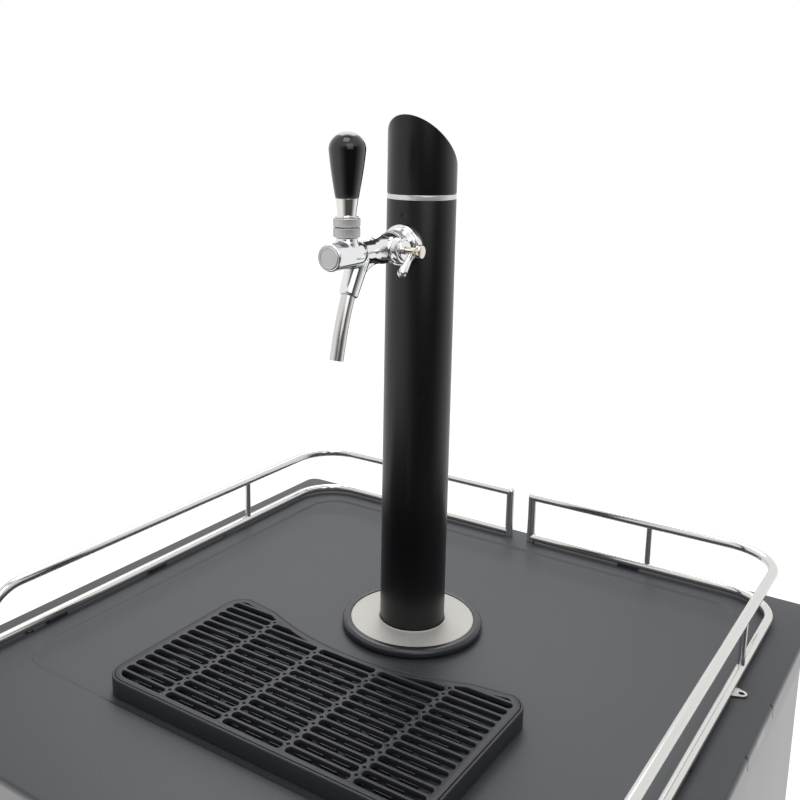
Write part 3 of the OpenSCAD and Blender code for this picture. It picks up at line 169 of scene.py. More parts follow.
floor_bm = bmesh.new()
bmesh.ops.create_grid(floor_bm, x_segments=1, y_segments=1, size=40)
floor_mesh = bpy.data.meshes.new("floor")
floor_bm.to_mesh(floor_mesh)
floor_bm.free()
floor = bpy.data.objects.new("floor", floor_mesh)
scene.collection.objects.link(floor)
floor_material = bpy.data.materials.new("floor")
floor_material.use_nodes = True
floor_nodes = Nodes(floor_material.node_tree)
floor_shader = floor_material.node_tree.nodes["Principled BSDF"]
floor_shader.inputs["Base Color"].default_value = (0.8, 0.8, 0.8, 1)
floor_shader.inputs["Roughness"].default_value = 0.9
floor_shader.inputs["Specular IOR Level"].default_value = 0.0
floor_ray = floor_nodes.node("ShaderNodeLightPath", output="Is Camera Ray")
floor_glow = floor_nodes.node("ShaderNodeEmission", inputs={"Color": (1, 1, 1, 1), "Strength": 1.2})
floor_mix = floor_nodes.node("ShaderNodeMixShader", inputs={0: floor_ray * 0.85, 2: floor_glow})
floor_material.node_tree.links.new(floor_shader.outputs[0], floor_mix.socket.node.inputs[1])
floor_output = floor_material.node_tree.nodes["Material Output"]
floor_material.node_tree.links.new(floor_mix.socket, floor_output.inputs["Surface"])
floor_mesh.materials.append(floor_material)
floor.visible_glossy = False


# ---------------------------------------------------------------- castors
# Four twin-cheeked castors of pressed, zinc-plated steel with hard black wheels. The front pair
# swivels on a pivot under a square plate, and the rear pair is fixed.
class Finish(Nodes):
    """A material: a Principled shader whose constants are set once, and whose patterns are wired in."""

    def __init__(self, name, colour, roughness, metallic=0.0, **constants):
        self.material = bpy.data.materials.new(name)
        self.material.use_nodes = True
        super().__init__(self.material.node_tree)
        self.shader = self.tree.nodes["Principled BSDF"]
        self.shader.inputs["Base Color"].default_value = (*colour, 1)
        self.shader.inputs["Roughness"].default_value = roughness
        self.shader.inputs["Metallic"].default_value = metallic
        for socket, value in constants.items():
            self.shader.inputs[socket.replace("_", " ")].default_value = value

    def place(self, stretch=(1, 1, 1), turn=(0, 0, 0)):
        """Object coordinates, turned and then stretched."""
        where = self.node("ShaderNodeTexCoord", output="Object")
        inputs = {"Vector": where, "Rotation": turn, "Scale": stretch}
        return self.node("ShaderNodeMapping", {"vector_type": "POINT"}, inputs)

    def grain(self, scale, detail=3.0, stretch=(1, 1, 1), turn=(0, 0, 0)):
        """Even noise of about 1 / scale metres, from 0 to 1."""
        where = self.place(stretch, turn)
        inputs = {"Vector": where, "Scale": scale, "Detail": detail, "Roughness": 0.55}
        return self.node("ShaderNodeTexNoise", inputs=inputs)

    def mix(self, factor, first, second):
        """A colour between two colours or wires."""
        inputs = {0: factor}
        for socket, value in ((6, first), (7, second)):
            inputs[socket] = value if isinstance(value, Wire) else (*value, 1)
        return self.node("ShaderNodeMix", {"data_type": "RGBA"}, inputs, output=2)

    def feed(self, **wires):
        for socket, wire in wires.items():
            self.tree.links.new(wire.socket, self.shader.inputs[socket.replace("_", " ")])

    def emboss(self, height, depth):
        """Raises the surface by up to depth metres where height is 1."""
        bump = self.node("ShaderNodeBump", inputs={"Height": height, "Distance": depth, "Strength": 1.0})
        self.feed(Normal=bump)


def patchy(name, colour, roughness, gloss, patches, depth, relief=(), tints=(), **constants):
    """A finish whose roughness rises over patches and whose surface has a fine relief.

    gloss is the lowest roughness and its rise. patches and relief are given as grain() takes them.
    Without a relief of its own the patches are raised, and tints are the patches' two colours.
    """
    finish = Finish(name, colour, roughness, **constants)
    patch = finish.grain(*patches)
    lowest, rise = gloss
    finish.feed(Roughness=lowest + patch * rise)
    if tints:
        finish.feed(Base_Color=finish.mix(patch, *tints))
    finish.emboss(finish.grain(*relief) if relief else patch, depth)
    return finish


def node_copy(node):
    """The CAD node's mesh as one closed shell, with its flat faces whole."""
    bm = bmesh.new()
    bm.from_mesh(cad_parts[node].data)
    bmesh.ops.remove_doubles(bm, verts=bm.verts, dist=1e-6)
    bmesh.ops.dissolve_limit(bm, angle_limit=math.radians(0.5), verts=bm.verts, edges=bm.edges)
    return bm


def heal(bm):
    """Merges what touches, so that no face is without an area."""
    bmesh.ops.remove_doubles(bm, verts=bm.verts, dist=2e-6)
    bmesh.ops.dissolve_degenerate(bm, edges=bm.edges, dist=2e-6)


def soften(bm, width, segments=2, sharper_than=32):
    """Rounds every edge that is sharper than an angle."""
    folds = [edge for edge in bm.edges if len(edge.link_faces) == 2]
    sharp = [edge for edge in folds if edge.calc_face_angle() > math.radians(sharper_than)]
    bmesh.ops.bevel(
        bm, geom=sharp, offset=width, offset_type="OFFSET", affect="EDGES", segments=segments,
        profile=0.5, material=-1, clamp_overlap=True,
    )
    heal(bm)


def finish_piece(bm, name, body, finish, nodes=(), smooth=40):
    """Makes a piece of a bmesh: shades it, gives it its finish and its body."""
    mesh = bpy.data.meshes.new(name)
    bm.to_mesh(mesh)
    bm.free()
    mesh.shade_smooth()
    mesh.set_sharp_from_angle(angle=math.radians(smooth))
    mesh.materials.append(finish.material)
    made = bpy.data.objects.new(name, mesh)
    scene.collection.objects.link(made)
    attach(made, body)
    if nodes:
        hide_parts(*nodes)
    return made


def soft_node(node, body, finish, width=0.0004, segments=2):
    """A piece that is the CAD node with its edges broken, as pressing or moulding leaves them."""
    bm = node_copy(node)
    soften(bm, width, segments)
    return finish_piece(bm, node + "_piece", body, finish, [node])


def keep_node(node, finish):
    """A CAD node whose own mesh is shown."""
    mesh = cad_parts[node].data
    mesh.materials.clear()
    mesh.materials.append(finish.material)


def wheel_rubber():
    finish = Finish("wheel_rubber", (0.028, 0.028, 0.03), 0.55)
    dust = finish.grain(70, detail=5).band(0.45, 0.75)
    tread = finish.mix(dust * 0.6, (0.024, 0.024, 0.026), (0.07, 0.068, 0.064))
    finish.feed(Base_Color=tread, Roughness=0.5 + dust * 0.2)
    finish.emboss(finish.grain(1400), 0.00005)
    return finish


castor_steel = patchy(
    "zinc_plate", (0.56, 0.57, 0.58), 0.38, gloss=(0.3, 0.22), patches=(140, 2), depth=0.00003,
    relief=(900,), metallic=1.0,
)
castor_rubber = wheel_rubber()
soft_node("castor_mounts", "cabinet", castor_steel)
for side in ("left", "right"):
    soft_node("castor_fork_" + side, "fork_" + side, castor_steel)
    for end in ("front", "rear"):
        wheel = f"wheel_{end}_{side}"
        soft_node(wheel, wheel, castor_rubber, width=0.0015, segments=3)


# ---------------------------------------------------------------- cabinet
# A foamed steel box: silver grey side sheets, a darker rear sheet with louvres over the compressor's
# bay, a base pan, and a white vacuum-formed liner inside. The foam's front edge is painted grey.
def silver_paint():
    finish = Finish("silver_paint", (0.37, 0.375, 0.375), 0.42, metallic=0.35)
    flake = finish.grain(2600, detail=1)
    cloud = finish.grain(5, detail=2)
    finish.feed(
        Base_Color=finish.mix(flake, (0.34, 0.345, 0.345), (0.41, 0.415, 0.415)),
        Roughness=0.36 + cloud * 0.12,
    )
    finish.emboss(finish.grain(420, detail=2), 0.00002)
    return finish


def pale_foam():
    finish = Finish("pale_foam", (0.78, 0.72, 0.5), 0.85)
    cells = finish.node("ShaderNodeTexVoronoi", inputs={"Vector": finish.place(), "Scale": 700.0})
    age = finish.grain(12, detail=4)
    where = finish.node("ShaderNodeTexCoord", output="Object")
    front = finish.node("ShaderNodeSeparateXYZ", inputs={0: where}, output="Y") < painted_to
    raw = finish.mix(age, (0.8, 0.74, 0.52), (0.7, 0.62, 0.4))
    finish.feed(Base_Color=finish.mix(front, raw, (0.36, 0.365, 0.365)), Roughness=0.85 - front * 0.4)
    finish.emboss(cells * (1 - front), 0.0004)
    return finish


def white_liner():
    finish = Finish("white_liner", (0.82, 0.83, 0.83), 0.3)
    orange_peel = finish.grain(160, detail=2)
    finish.feed(
        Base_Color=finish.mix(finish.grain(4), (0.8, 0.81, 0.81), (0.85, 0.86, 0.86)),
        Roughness=0.26 + orange_peel * 0.1,
    )
    finish.emboss(orange_peel, 0.00008)
    return finish


painted_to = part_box("cabinet_foam")[0].y + 0.0005
silver = silver_paint()
sheet = patchy(
    "dark_sheet", (0.1, 0.103, 0.107), 0.5, gloss=(0.42, 0.18), patches=(9, 4), depth=0.00003,
    relief=(700, 2), tints=((0.085, 0.088, 0.092), (0.12, 0.122, 0.126)), metallic=0.2,
)
foam = pale_foam()
liner = white_liner()
soft_node("side_panel_left", "cabinet", silver, width=0.0003)
soft_node("side_panel_right", "cabinet", silver, width=0.0003)
soft_node("back_panel", "cabinet", sheet, width=0.0003)
soft_node("base_pan", "cabinet", sheet, width=0.0003)
keep_node("cabinet_foam", foam)
soft_node("cabinet_liner", "cabinet", liner, width=0.0008, segments=3)


# ---------------------------------------------------------------- cooling
# A hermetic compressor in the rear bay, a flat aluminium evaporator on the liner's rear wall, and a
# small axial fan in front of it.
def pot_enamel():
    finish = Finish("pot_enamel", (0.015, 0.015, 0.016), 0.25, Coat_Weight=0.4)
    dust = finish.grain(30, detail=5).band(0.5, 0.8)
    shell = finish.mix(dust, (0.013, 0.013, 0.014), (0.05, 0.048, 0.045))
    finish.feed(Base_Color=shell, Roughness=0.22 + dust * 0.4)
    finish.emboss(finish.grain(90, detail=2), 0.0001)
    return finish


roll_bond = patchy(
    "roll_bond", (0.72, 0.73, 0.75), 0.4, gloss=(0.32, 0.2), patches=(60, 3, (1, 1, 24)), depth=0.00005,
    metallic=1.0,
)
black_moulding = patchy(
    "fan_plastic", (0.022, 0.022, 0.024), 0.45, gloss=(0.38, 0.2), patches=(300,), depth=0.00003,
    relief=(1200,),
)
soft_node("evaporator_plate", "cabinet", roll_bond, width=0.0005)
soft_node("fan_housing", "cabinet", black_moulding, width=0.0006)
soft_node("fan_rotor", "fan", black_moulding, width=0.0003)
soft_node("compressor", "cabinet", pot_enamel(), width=0.001)
soft_node("power_inlet", "cabinet", black_moulding, width=0.0008)


# ---------------------------------------------------------------- door and fascia
# A foamed door in black sheet steel with a grey magnetic seal and a stainless bar handle. The fascia
# above it has a bare display window and two push buttons.
door_paint = patchy(
    "black_sheet", (0.022, 0.022, 0.024), 0.34, gloss=(0.3, 0.1), patches=(6,), depth=0.00003,
    relief=(240, 2),
)
magnetic_seal = patchy(
    "magnetic_seal", (0.3, 0.3, 0.31), 0.6, gloss=(0.5, 0.2), patches=(200,), depth=0.0002,
    relief=(60, 3, (1, 8, 1)),
)
polished_tube = patchy(
    "bright_tube", (0.78, 0.775, 0.76), 0.12, gloss=(0.08, 0.1), patches=(350,), depth=0.00002,
    relief=(40, 2), metallic=1.0,
)
steel = patchy(
    "plain_steel", (0.5, 0.5, 0.51), 0.35, gloss=(0.28, 0.2), patches=(300,), depth=0.00002,
    relief=(800,), metallic=1.0,
)
buttons = patchy(
    "button_plastic", (0.3, 0.3, 0.31), 0.5, gloss=(0.42, 0.2), patches=(900,), depth=0.00003,
    relief=(2000,),
)
soft_node("door_skin", "door", door_paint, width=0.001, segments=3)
soft_node("door_core", "door", liner, width=0.001)
soft_node("door_gasket", "door", magnetic_seal, width=0.0025, segments=4)
soft_node("door_handle", "door", polished_tube, width=0.001, segments=3)
soft_node("door_hinges", "cabinet", steel, width=0.0005)
soft_node("control_panel", "cabinet", door_paint, width=0.0008, segments=3)
for way in ("up", "down"):
    soft_node("button_" + way, "button_" + way, buttons, width=0.0008, segments=3)


# ---------------------------------------------------------------- worktop
# One moulded sheet, satin black with a fine leather grain. Its edge is rounded, its middle sinks 2 mm
# in a soft step so that spills stay on it, and its rim band is silver grey with two joints on each side;
# the band's light grey over the rounded edge is also painted highlight.
def rounded_face(bm, low, high, corner, height, segments=8):
    """A flat face with round corners at a height."""
    middle = [(low[i] + high[i]) / 2 for i in (0, 1)]
    size = [high[i] - low[i] for i in (0, 1)]
    place = Matrix.Translation((middle[0], middle[1], height)) @ Matrix.Diagonal((size[0], size[1], 1, 1))
    verts = bmesh.ops.create_grid(bm, x_segments=1, y_segments=1, size=0.5, matrix=place)["verts"]
    made = bmesh.ops.bevel(
        bm, geom=verts, offset=corner, offset_type="OFFSET", affect="VERTICES", segments=segments,
        profile=0.5, material=-1, clamp_overlap=True,
    )
    return next(f for f in bm.faces if any(v in f.verts for v in made["verts"]))


def step_in(bm, face, inward, up):
    """Insets a face and lifts it."""
    bmesh.ops.inset_region(bm, faces=[face], thickness=inward, depth=up, use_even_offset=True)


def block(bm, middle, size):
    """Adds a plain box."""
    bmesh.ops.create_cube(bm, size=1, matrix=Matrix.Translation(middle) @ Matrix.Diagonal((*size, 1)))


def bake_modifiers(bm):
    """Lets modifiers work on a bmesh: bake_modifiers(bm)(settings) gives the finished bmesh."""
    mesh = bpy.data.meshes.new("blank")
    bm.to_mesh(mesh)
    bm.free()
    blank = bpy.data.objects.new("blank", mesh)
    scene.collection.objects.link(blank)

    def finished(*modifiers):
        for kind, settings in modifiers:
            added = blank.modifiers.new(kind.lower(), kind)
            for setting, value in settings.items():
                setattr(added, setting, value)
        bpy.context.view_layer.update()
        evaluated = blank.evaluated_get(bpy.context.evaluated_depsgraph_get())
        made = bmesh.new()
        made.from_mesh(evaluated.to_mesh())
        evaluated.to_mesh_clear()
        bpy.data.objects.remove(blank)
        bpy.data.meshes.remove(mesh)
        return made

    return finished


def carve(bm, cutter):
    """Cuts a closed bmesh out of another."""
    mesh = bpy.data.meshes.new("cutter")
    cutter.to_mesh(mesh)
    cutter.free()
    tool = bpy.data.objects.new("cutter", mesh)
    scene.collection.objects.link(tool)
    made = bake_modifiers(bm)(("BOOLEAN", {"object": tool, "operation": "DIFFERENCE", "solver": "MANIFOLD"}))
    bpy.data.objects.remove(tool)
    bpy.data.meshes.remove(mesh)
    heal(made)
    return made


def worktop_moulding(rim_z):
    finish = Finish("worktop_moulding", (0.05, 0.053, 0.058), 0.42)
    where = finish.node("ShaderNodeTexCoord", output="Object")
    height = finish.node("ShaderNodeSeparateXYZ", inputs={0: where}, output="Z")
    along = finish.node("ShaderNodeSeparateXYZ", inputs={0: where}, output="Y")
    across = finish.node("ShaderNodeSeparateXYZ", inputs={0: where}, output="X")
    from_middle = along - (top_low.y + top_high.y) / 2
    half_x, half_y = top_high.x - rim_wide, (top_high.y - top_low.y) / 2 - rim_wide
    outer = (across * across > half_x**2) + (from_middle * from_middle > half_y**2)
    # band: the rounded edge and the side are painted silver grey, partly the rim's own grey and partly
    # painted highlight along the rounding.
    band = outer.band(0, 1) * (1 - height.band(rim_z - 0.005, rim_z - 0.0006))
    patch = (along > joint_lines[0] + 0.030) * (along < joint_lines[1] - 0.027) * (height > rim_z - joint_low)
    cloud = finish.grain(7, detail=3)
    specks = finish.node("ShaderNodeTexVoronoi", inputs={"Vector": finish.place(), "Scale": 30.0})
    dust = (1 - specks.band(0.02, 0.034)) * finish.grain(11).band(0.46, 0.56)
    top = finish.mix(cloud, (0.031, 0.035, 0.042), (0.040, 0.043, 0.050))
    top = finish.mix(dust * 0.55, top, (0.22, 0.22, 0.22))
    rim = finish.mix(patch * 0.6, (0.33, 0.335, 0.33), (0.48, 0.48, 0.47))
    finish.feed(Base_Color=finish.mix(band, top, rim), Roughness=0.42 + cloud * 0.08 - band * 0.05)
    finish.emboss(finish.grain(1500, detail=2) * 0.6 + finish.grain(500) * 0.4, 0.00006)
    return finish


top_low, top_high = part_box("worktop")
worktop_thick = top_high.z - top_low.z
worktop_corner = 0.014
rolled_edge = 0.004
column_low, column_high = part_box("tower_column")
column_y = (column_low.y + column_high.y) / 2
recess_low = (-0.253, column_y - 0.255)
recess_high = (0.253, column_y + 0.212)
recess_corner = 0.034
recess_sink = 0.002
joint_lines = (column_y - 0.028, column_y + 0.054)
joint_wide, joint_deep, joint_low = 0.0026, 0.0026, 0.0115
rim_wide = 0.007

bm = bmesh.new()
underside = rounded_face(bm, top_low, top_high, worktop_corner, top_low.z)
face = bmesh.ops.extrude_face_region(bm, geom=[underside])
face = next(g for g in face["geom"] if isinstance(g, bmesh.types.BMFace))
bmesh.ops.translate(bm, verts=face.verts, vec=(0, 0, worktop_thick - rolled_edge))
roll_steps = 6
for i in range(roll_steps):
    a0, a1 = (math.pi / 2 * k / roll_steps for k in (i, i + 1))
    inward = rolled_edge * (math.cos(a0) - math.cos(a1))
    step_in(bm, face, inward, rolled_edge * (math.sin(a1) - math.sin(a0)))
margin_edge = list(face.edges)
bm.faces.remove(face)
recess = rounded_face(bm, recess_low, recess_high, recess_corner, top_high.z)
recess_edge = list(recess.edges)
bmesh.ops.bridge_loops(bm, edges=margin_edge + recess_edge)
slope, slope_steps = 0.005, 8
for i in range(slope_steps):
    t0, t1 = (k / slope_steps for k in (i, i + 1))
    sink = [recess_sink * (t * t * (3 - 2 * t)) for t in (t0, t1)]
    step_in(bm, recess, slope / slope_steps, sink[0] - sink[1])
bmesh.ops.recalc_face_normals(bm, faces=bm.faces)
joints = bmesh.new()
for side in (-1, 1):
    for line in joint_lines:
        middle = (side * top_high.x, line, top_high.z - joint_low / 2)
        block(joints, middle, (2 * joint_deep, joint_wide, joint_low))
bm = carve(bm, joints)
moulding = worktop_moulding(top_high.z)
finish_piece(bm, "worktop_moulding", "cabinet", moulding, ["worktop"], smooth=50)


# ---------------------------------------------------------------- column
# A drawn steel tube with a matte black coat of fine grain, and a cap of the same finish that is cut
# off at an angle. A polished ring parts the two, and a small screw under the ring holds the cap.
def lathe(outline, place, steps=96):
    """Turns an outline of (radius, height) points about the Z axis and puts it in its place."""
    bm = bmesh.new()
    verts = [bm.verts.new((radius, 0, height)) for radius, height in outline]
    edges = [bm.edges.new(pair) for pair in zip(verts, verts[1:])]
    bmesh.ops.spin(
        bm, geom=verts + edges, cent=(0, 0, 0), axis=(0, 0, 1), angle=2 * math.pi, steps=steps,
        use_merge=True,
    )
    bmesh.ops.remove_doubles(bm, verts=bm.verts, dist=1e-6)
    bmesh.ops.recalc_face_normals(bm, faces=bm.faces)
    bmesh.ops.transform(bm, matrix=place, verts=bm.verts)
    return bm


def ring_outline(inner, outer, low, high):
    """The outline of a plain ring."""
    return [(inner, low), (outer, low), (outer, high), (inner, high), (inner, low)]


def rod(radius, start, end, steps=48):
    """A round bar between two points."""
    start, end = Vector(start), Vector(end)
    turn = (end - start).to_track_quat("Z", "Y").to_matrix().to_4x4()
    length = (end - start).length
    outline = [(0, 0), (radius, 0), (radius, length), (0, length)]
    return lathe(outline, Matrix.Translation(start) @ turn, steps)


def fine_black(name):
    finish = Finish(name, (0.004, 0.004, 0.005), 0.3, Specular_IOR_Level=0.4)
    grit = finish.grain(1900, detail=2)
    cloud = finish.grain(14, detail=3)
    scuff = finish.grain(30, detail=4, stretch=(1, 1, 40)).band(0.7, 0.78)
    coat = finish.mix(cloud, (0.003, 0.003, 0.004), (0.005, 0.005, 0.006))
    finish.feed(Base_Color=finish.mix(scuff * 0.3, coat, (0.09, 0.09, 0.09)), Roughness=0.26 + cloud * 0.1)
    finish.emboss(grit, 0.00006)
    return finish


ring_low, ring_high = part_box("cap_ring")
cap_low, cap_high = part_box("tower_cap")
screw_low, screw_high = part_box("cap_screw")
axis_place = Matrix.Translation((0, column_y, 0))
column_r = column_high.x
column_wall = 0.002
bore_r = column_r - column_wall
cap_slant = math.radians(43.5)
screw_z = (screw_low.z + screw_high.z) / 2
screw_hole_r = 0.0023
tap_z = (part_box("coupling_ring")[0].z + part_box("coupling_ring")[1].z) / 2
shank_hole_r = 0.0081

column_coat = fine_black("column_coat")
bm = lathe(ring_outline(bore_r, column_r, column_low.z, column_high.z), axis_place, 160)
soften(bm, 0.0003)
for hole_r, hole_z in ((screw_hole_r, screw_z), (shank_hole_r, tap_z)):
    bm = carve(bm, rod(hole_r, (0, column_y, hole_z), (0, column_y - 2 * column_r, hole_z)))
finish_piece(bm, "column_tube", "cabinet", column_coat, ["tower_column"])
bm = lathe(ring_outline(bore_r, column_r, ring_low.z, ring_high.z), axis_place, 160)
soften(bm, 0.0006, segments=3)
ring_polish = patchy(
    "ring_polish", (0.74, 0.735, 0.73), 0.2, gloss=(0.12, 0.16), patches=(900, 2, (0.05, 0.05, 4)),
    depth=0.00001, metallic=0.55,
)
finish_piece(bm, "polished_ring", "cabinet", ring_polish, ["cap_ring"])

spigot_r = bore_r - 0.0001
cap_outline = [
    (0, cap_low.z), (spigot_r, cap_low.z), (spigot_r, ring_high.z), (column_r, ring_high.z),
    (column_r, cap_high.z), (0, cap_high.z),
]
bm = lathe(cap_outline, axis_place, 160)
slant_normal = Vector((0, math.sin(cap_slant), math.cos(cap_slant)))
cut = bmesh.ops.bisect_plane(
    bm, geom=bm.verts[:] + bm.edges[:] + bm.faces[:], plane_co=(0, column_y - column_r, cap_high.z),
    plane_no=slant_normal, clear_outer=True,
)
rim = [g for g in cut["geom_cut"] if isinstance(g, bmesh.types.BMEdge)]
bmesh.ops.contextual_create(bm, geom=rim)
bmesh.ops.remove_doubles(bm, verts=bm.verts, dist=1e-6)
bmesh.ops.recalc_face_normals(bm, faces=bm.faces)
soften(bm, 0.0022, segments=6, sharper_than=28)
bm = carve(bm, rod(screw_hole_r, (0, column_y, screw_z), (0, column_y - 2 * column_r, screw_z)))
finish_piece(bm, "oblique_cap", "cabinet", column_coat, ["tower_cap"])
soft_node("cap_screw", "cabinet", door_paint, width=0.0001)


# ---------------------------------------------------------------- column's foot
# A welded flange screwed to the worktop, under a stainless disc with a bead against the column. The
# disc sits in a thick, glossy rubber ring.
def brushed_disc():
    finish = Finish("brushed_disc", (0.5, 0.49, 0.46), 0.5, metallic=0.3)
    brushed = finish.grain(1200, detail=3, stretch=(1, 0.03, 1), turn=(0, 0, math.radians(20)))
    cloud = finish.grain(40, detail=2)
    finish.feed(
        Base_Color=finish.mix(brushed, (0.47, 0.46, 0.43), (0.54, 0.53, 0.5)),
        Roughness=0.42 + brushed * 0.14 + cloud * 0.06,
    )
    finish.emboss(brushed, 0.00002)
    return finish


rubber = patchy(
    "soft_rubber", (0.016, 0.0165, 0.019), 0.36, gloss=(0.2, 0.14), patches=(60, 4), depth=0.00004,
    relief=(1500,), tints=((0.02, 0.021, 0.026), (0.03, 0.031, 0.037)),
)
cover_low, cover_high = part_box("base_cover")
seal_low, seal_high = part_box("base_gasket")
recess_z = seal_low.z
cover_r, seal_r = cover_high.x, seal_high.x
collar_gap = 0.0002
bead_w, bead_h = 0.0011, 0.0009
soft_node("base_flange", "cabinet", steel)
soft_node("flange_screws", "cabinet", steel)
disc_in = column_r + collar_gap
disc_top = cover_high.z - bead_h
bead_turn = [math.radians(a) for a in range(0, 181, 20)]
bead_mid = disc_in + bead_w / 2
disc_outline = [(bead_mid - bead_w / 2 * math.cos(a), disc_top + bead_h * math.sin(a)) for a in bead_turn]
disc_outline += [(cover_r, disc_top), (cover_r, cover_low.z), (disc_in, cover_low.z), (disc_in, disc_top)]
bm = lathe(disc_outline, axis_place, 128)
finish_piece(bm, "foot_disc", "cabinet", brushed_disc(), ["base_cover"])

seal_in, seal_lift, disc_play, lip_cut = 0.0515, 0.0002, 0.0001, 0.0008
seal_round = (seal_high.z - recess_z) / 2 - seal_lift
seal_mid, seal_axis = seal_r - seal_round, recess_z + seal_round + seal_lift
seal_outline = []
for angle in (math.radians(degrees) for degrees in range(-90, 91, 12)):
    seal_outline.append((seal_mid + seal_round * math.cos(angle), seal_axis + seal_round * math.sin(angle)))
seal_outline += [
    (cover_r + lip_cut, seal_high.z), (cover_r + disc_play, seal_high.z - lip_cut),
    (cover_r + disc_play, cover_low.z - disc_play), (seal_in, cover_low.z - disc_play),
    (seal_in, recess_z), (seal_mid, recess_z), (seal_mid, recess_z + seal_lift),
]
bm = lathe(seal_outline, axis_place, 128)
finish_piece(bm, "foot_seal", "cabinet", rubber, ["base_gasket"], smooth=60)


# ---------------------------------------------------------------- beer line
# A clear beer line in a foam sleeve, from a push-in connector in the ceiling up to an elbow behind
# the tap's shank.
clear_line = patchy(
    "clear_line", (0.62, 0.7, 0.66), 0.2, gloss=(0.16, 0.1), patches=(200,), depth=0.00002,
    relief=(500, 3, (1, 1, 0.1)),
)
acetal = patchy(
    "acetal", (0.72, 0.73, 0.74), 0.35, gloss=(0.3, 0.12), patches=(500,), depth=0.00002, relief=(1500,),
)
keep_node("tower_foam", foam)
keep_node("beer_line", clear_line)
soft_node("beer_connector", "cabinet", acetal, width=0.0006)


# ---------------------------------------------------------------- guard rail
# Two welded frames of satin stainless tube, one on each side, with thin posts between the tubes and a
# lug for tying. Their pegs stand in rubber rings, and rubber pads lie under the lower tubes.
class Tubing:
    """A round tube that grows from one end in straight runs and bends."""

    def __init__(self, bm, start, heading, radius, sides=28):
        self.bm = bm
        self.at = Vector(start)
        self.heading = Vector(heading).normalized()
        turn = self.heading.to_track_quat("Z", "Y").to_matrix().to_4x4()
        bmesh.ops.create_circle(
            bm, cap_ends=True, segments=sides, radius=radius, matrix=Matrix.Translation(self.at) @ turn,
        )
        bm.faces.ensure_lookup_table()
        self.end = self.start = [bm.faces[-1]]

    def grow(self):
        """Extrudes the end face, and keeps the old one only where the tube starts."""
        made = bmesh.ops.extrude_face_region(self.bm, geom=self.end)["geom"]
        if self.end is not self.start:
            bmesh.ops.delete(self.bm, geom=self.end, context="FACES_ONLY")
        self.end = [g for g in made if isinstance(g, bmesh.types.BMFace)]

    def run(self, length):
        self.grow()
        bmesh.ops.translate(self.bm, verts=self.end[0].verts, vec=self.heading * length)
        self.at += self.heading * length
        return self

    def bend(self, axis, radius, degrees, steps=16):
        """Turns the heading about an axis, on an arc."""
        axis = Vector(axis)
        centre = self.at + axis.cross(self.heading) * radius
        step = Matrix.Rotation(math.radians(degrees) / steps, 4, axis)
        for _ in range(steps):
            self.grow()
            bmesh.ops.rotate(self.bm, verts=self.end[0].verts, cent=centre, matrix=step)
            self.at = centre + step @ (self.at - centre)
            self.heading = step @ self.heading
        return self


def add(bm, other):
    """Adds a bmesh to another."""
    mesh = bpy.data.meshes.new("part")
    other.to_mesh(mesh)
    other.free()
    bm.from_mesh(mesh)
    bpy.data.meshes.remove(mesh)


def slab(bm, corners, thickness):
    """Adds a flat face through the corners and thickens it by a vector."""
    face = bm.faces.new([bm.verts.new(corner) for corner in corners])
    made = bmesh.ops.extrude_face_region(bm, geom=[face])["geom"]
    moved = [g for g in made if isinstance(g, bmesh.types.BMVert)]
    bmesh.ops.translate(bm, verts=moved, vec=thickness)
    bmesh.ops.recalc_face_normals(bm, faces=bm.faces)


def satin_rail():
    finish = Finish("satin_rail", (0.69, 0.685, 0.665), 0.15, metallic=1.0)
    drawn = finish.grain(350, detail=3)
    cloud = finish.grain(9, detail=2)
    finish.feed(
        Base_Color=finish.mix(cloud, (0.66, 0.655, 0.635), (0.72, 0.715, 0.7)),
        Roughness=0.12 + drawn * 0.05,
    )
    finish.emboss(finish.grain(40, detail=2), 0.000006)
    return finish


foot = Vector((0, column_y, recess_z))
rail_r, post_r, peg_r, ball_r = 0.0045, 0.003, 0.003, 0.00455
rail_x, rail_y, rail_gap = 0.276, 0.2344, 0.0135
rail_top, rail_low = 0.055, 0.008
rail_corner, rail_front, rail_bend = 0.05, 0.227, 0.042
post_side_y, post_rear_x = 0.086, 0.1456
peg_foot, post_foot, peg_inset = -0.011, 0.0023, 0.006
lug_y, lug_z, lug_thick, lug_reach, lug_half = 0.054, 0.0025, 0.0015, 0.009, 0.009
lug_eye_r, lug_hole_r = 0.0045, 0.0025

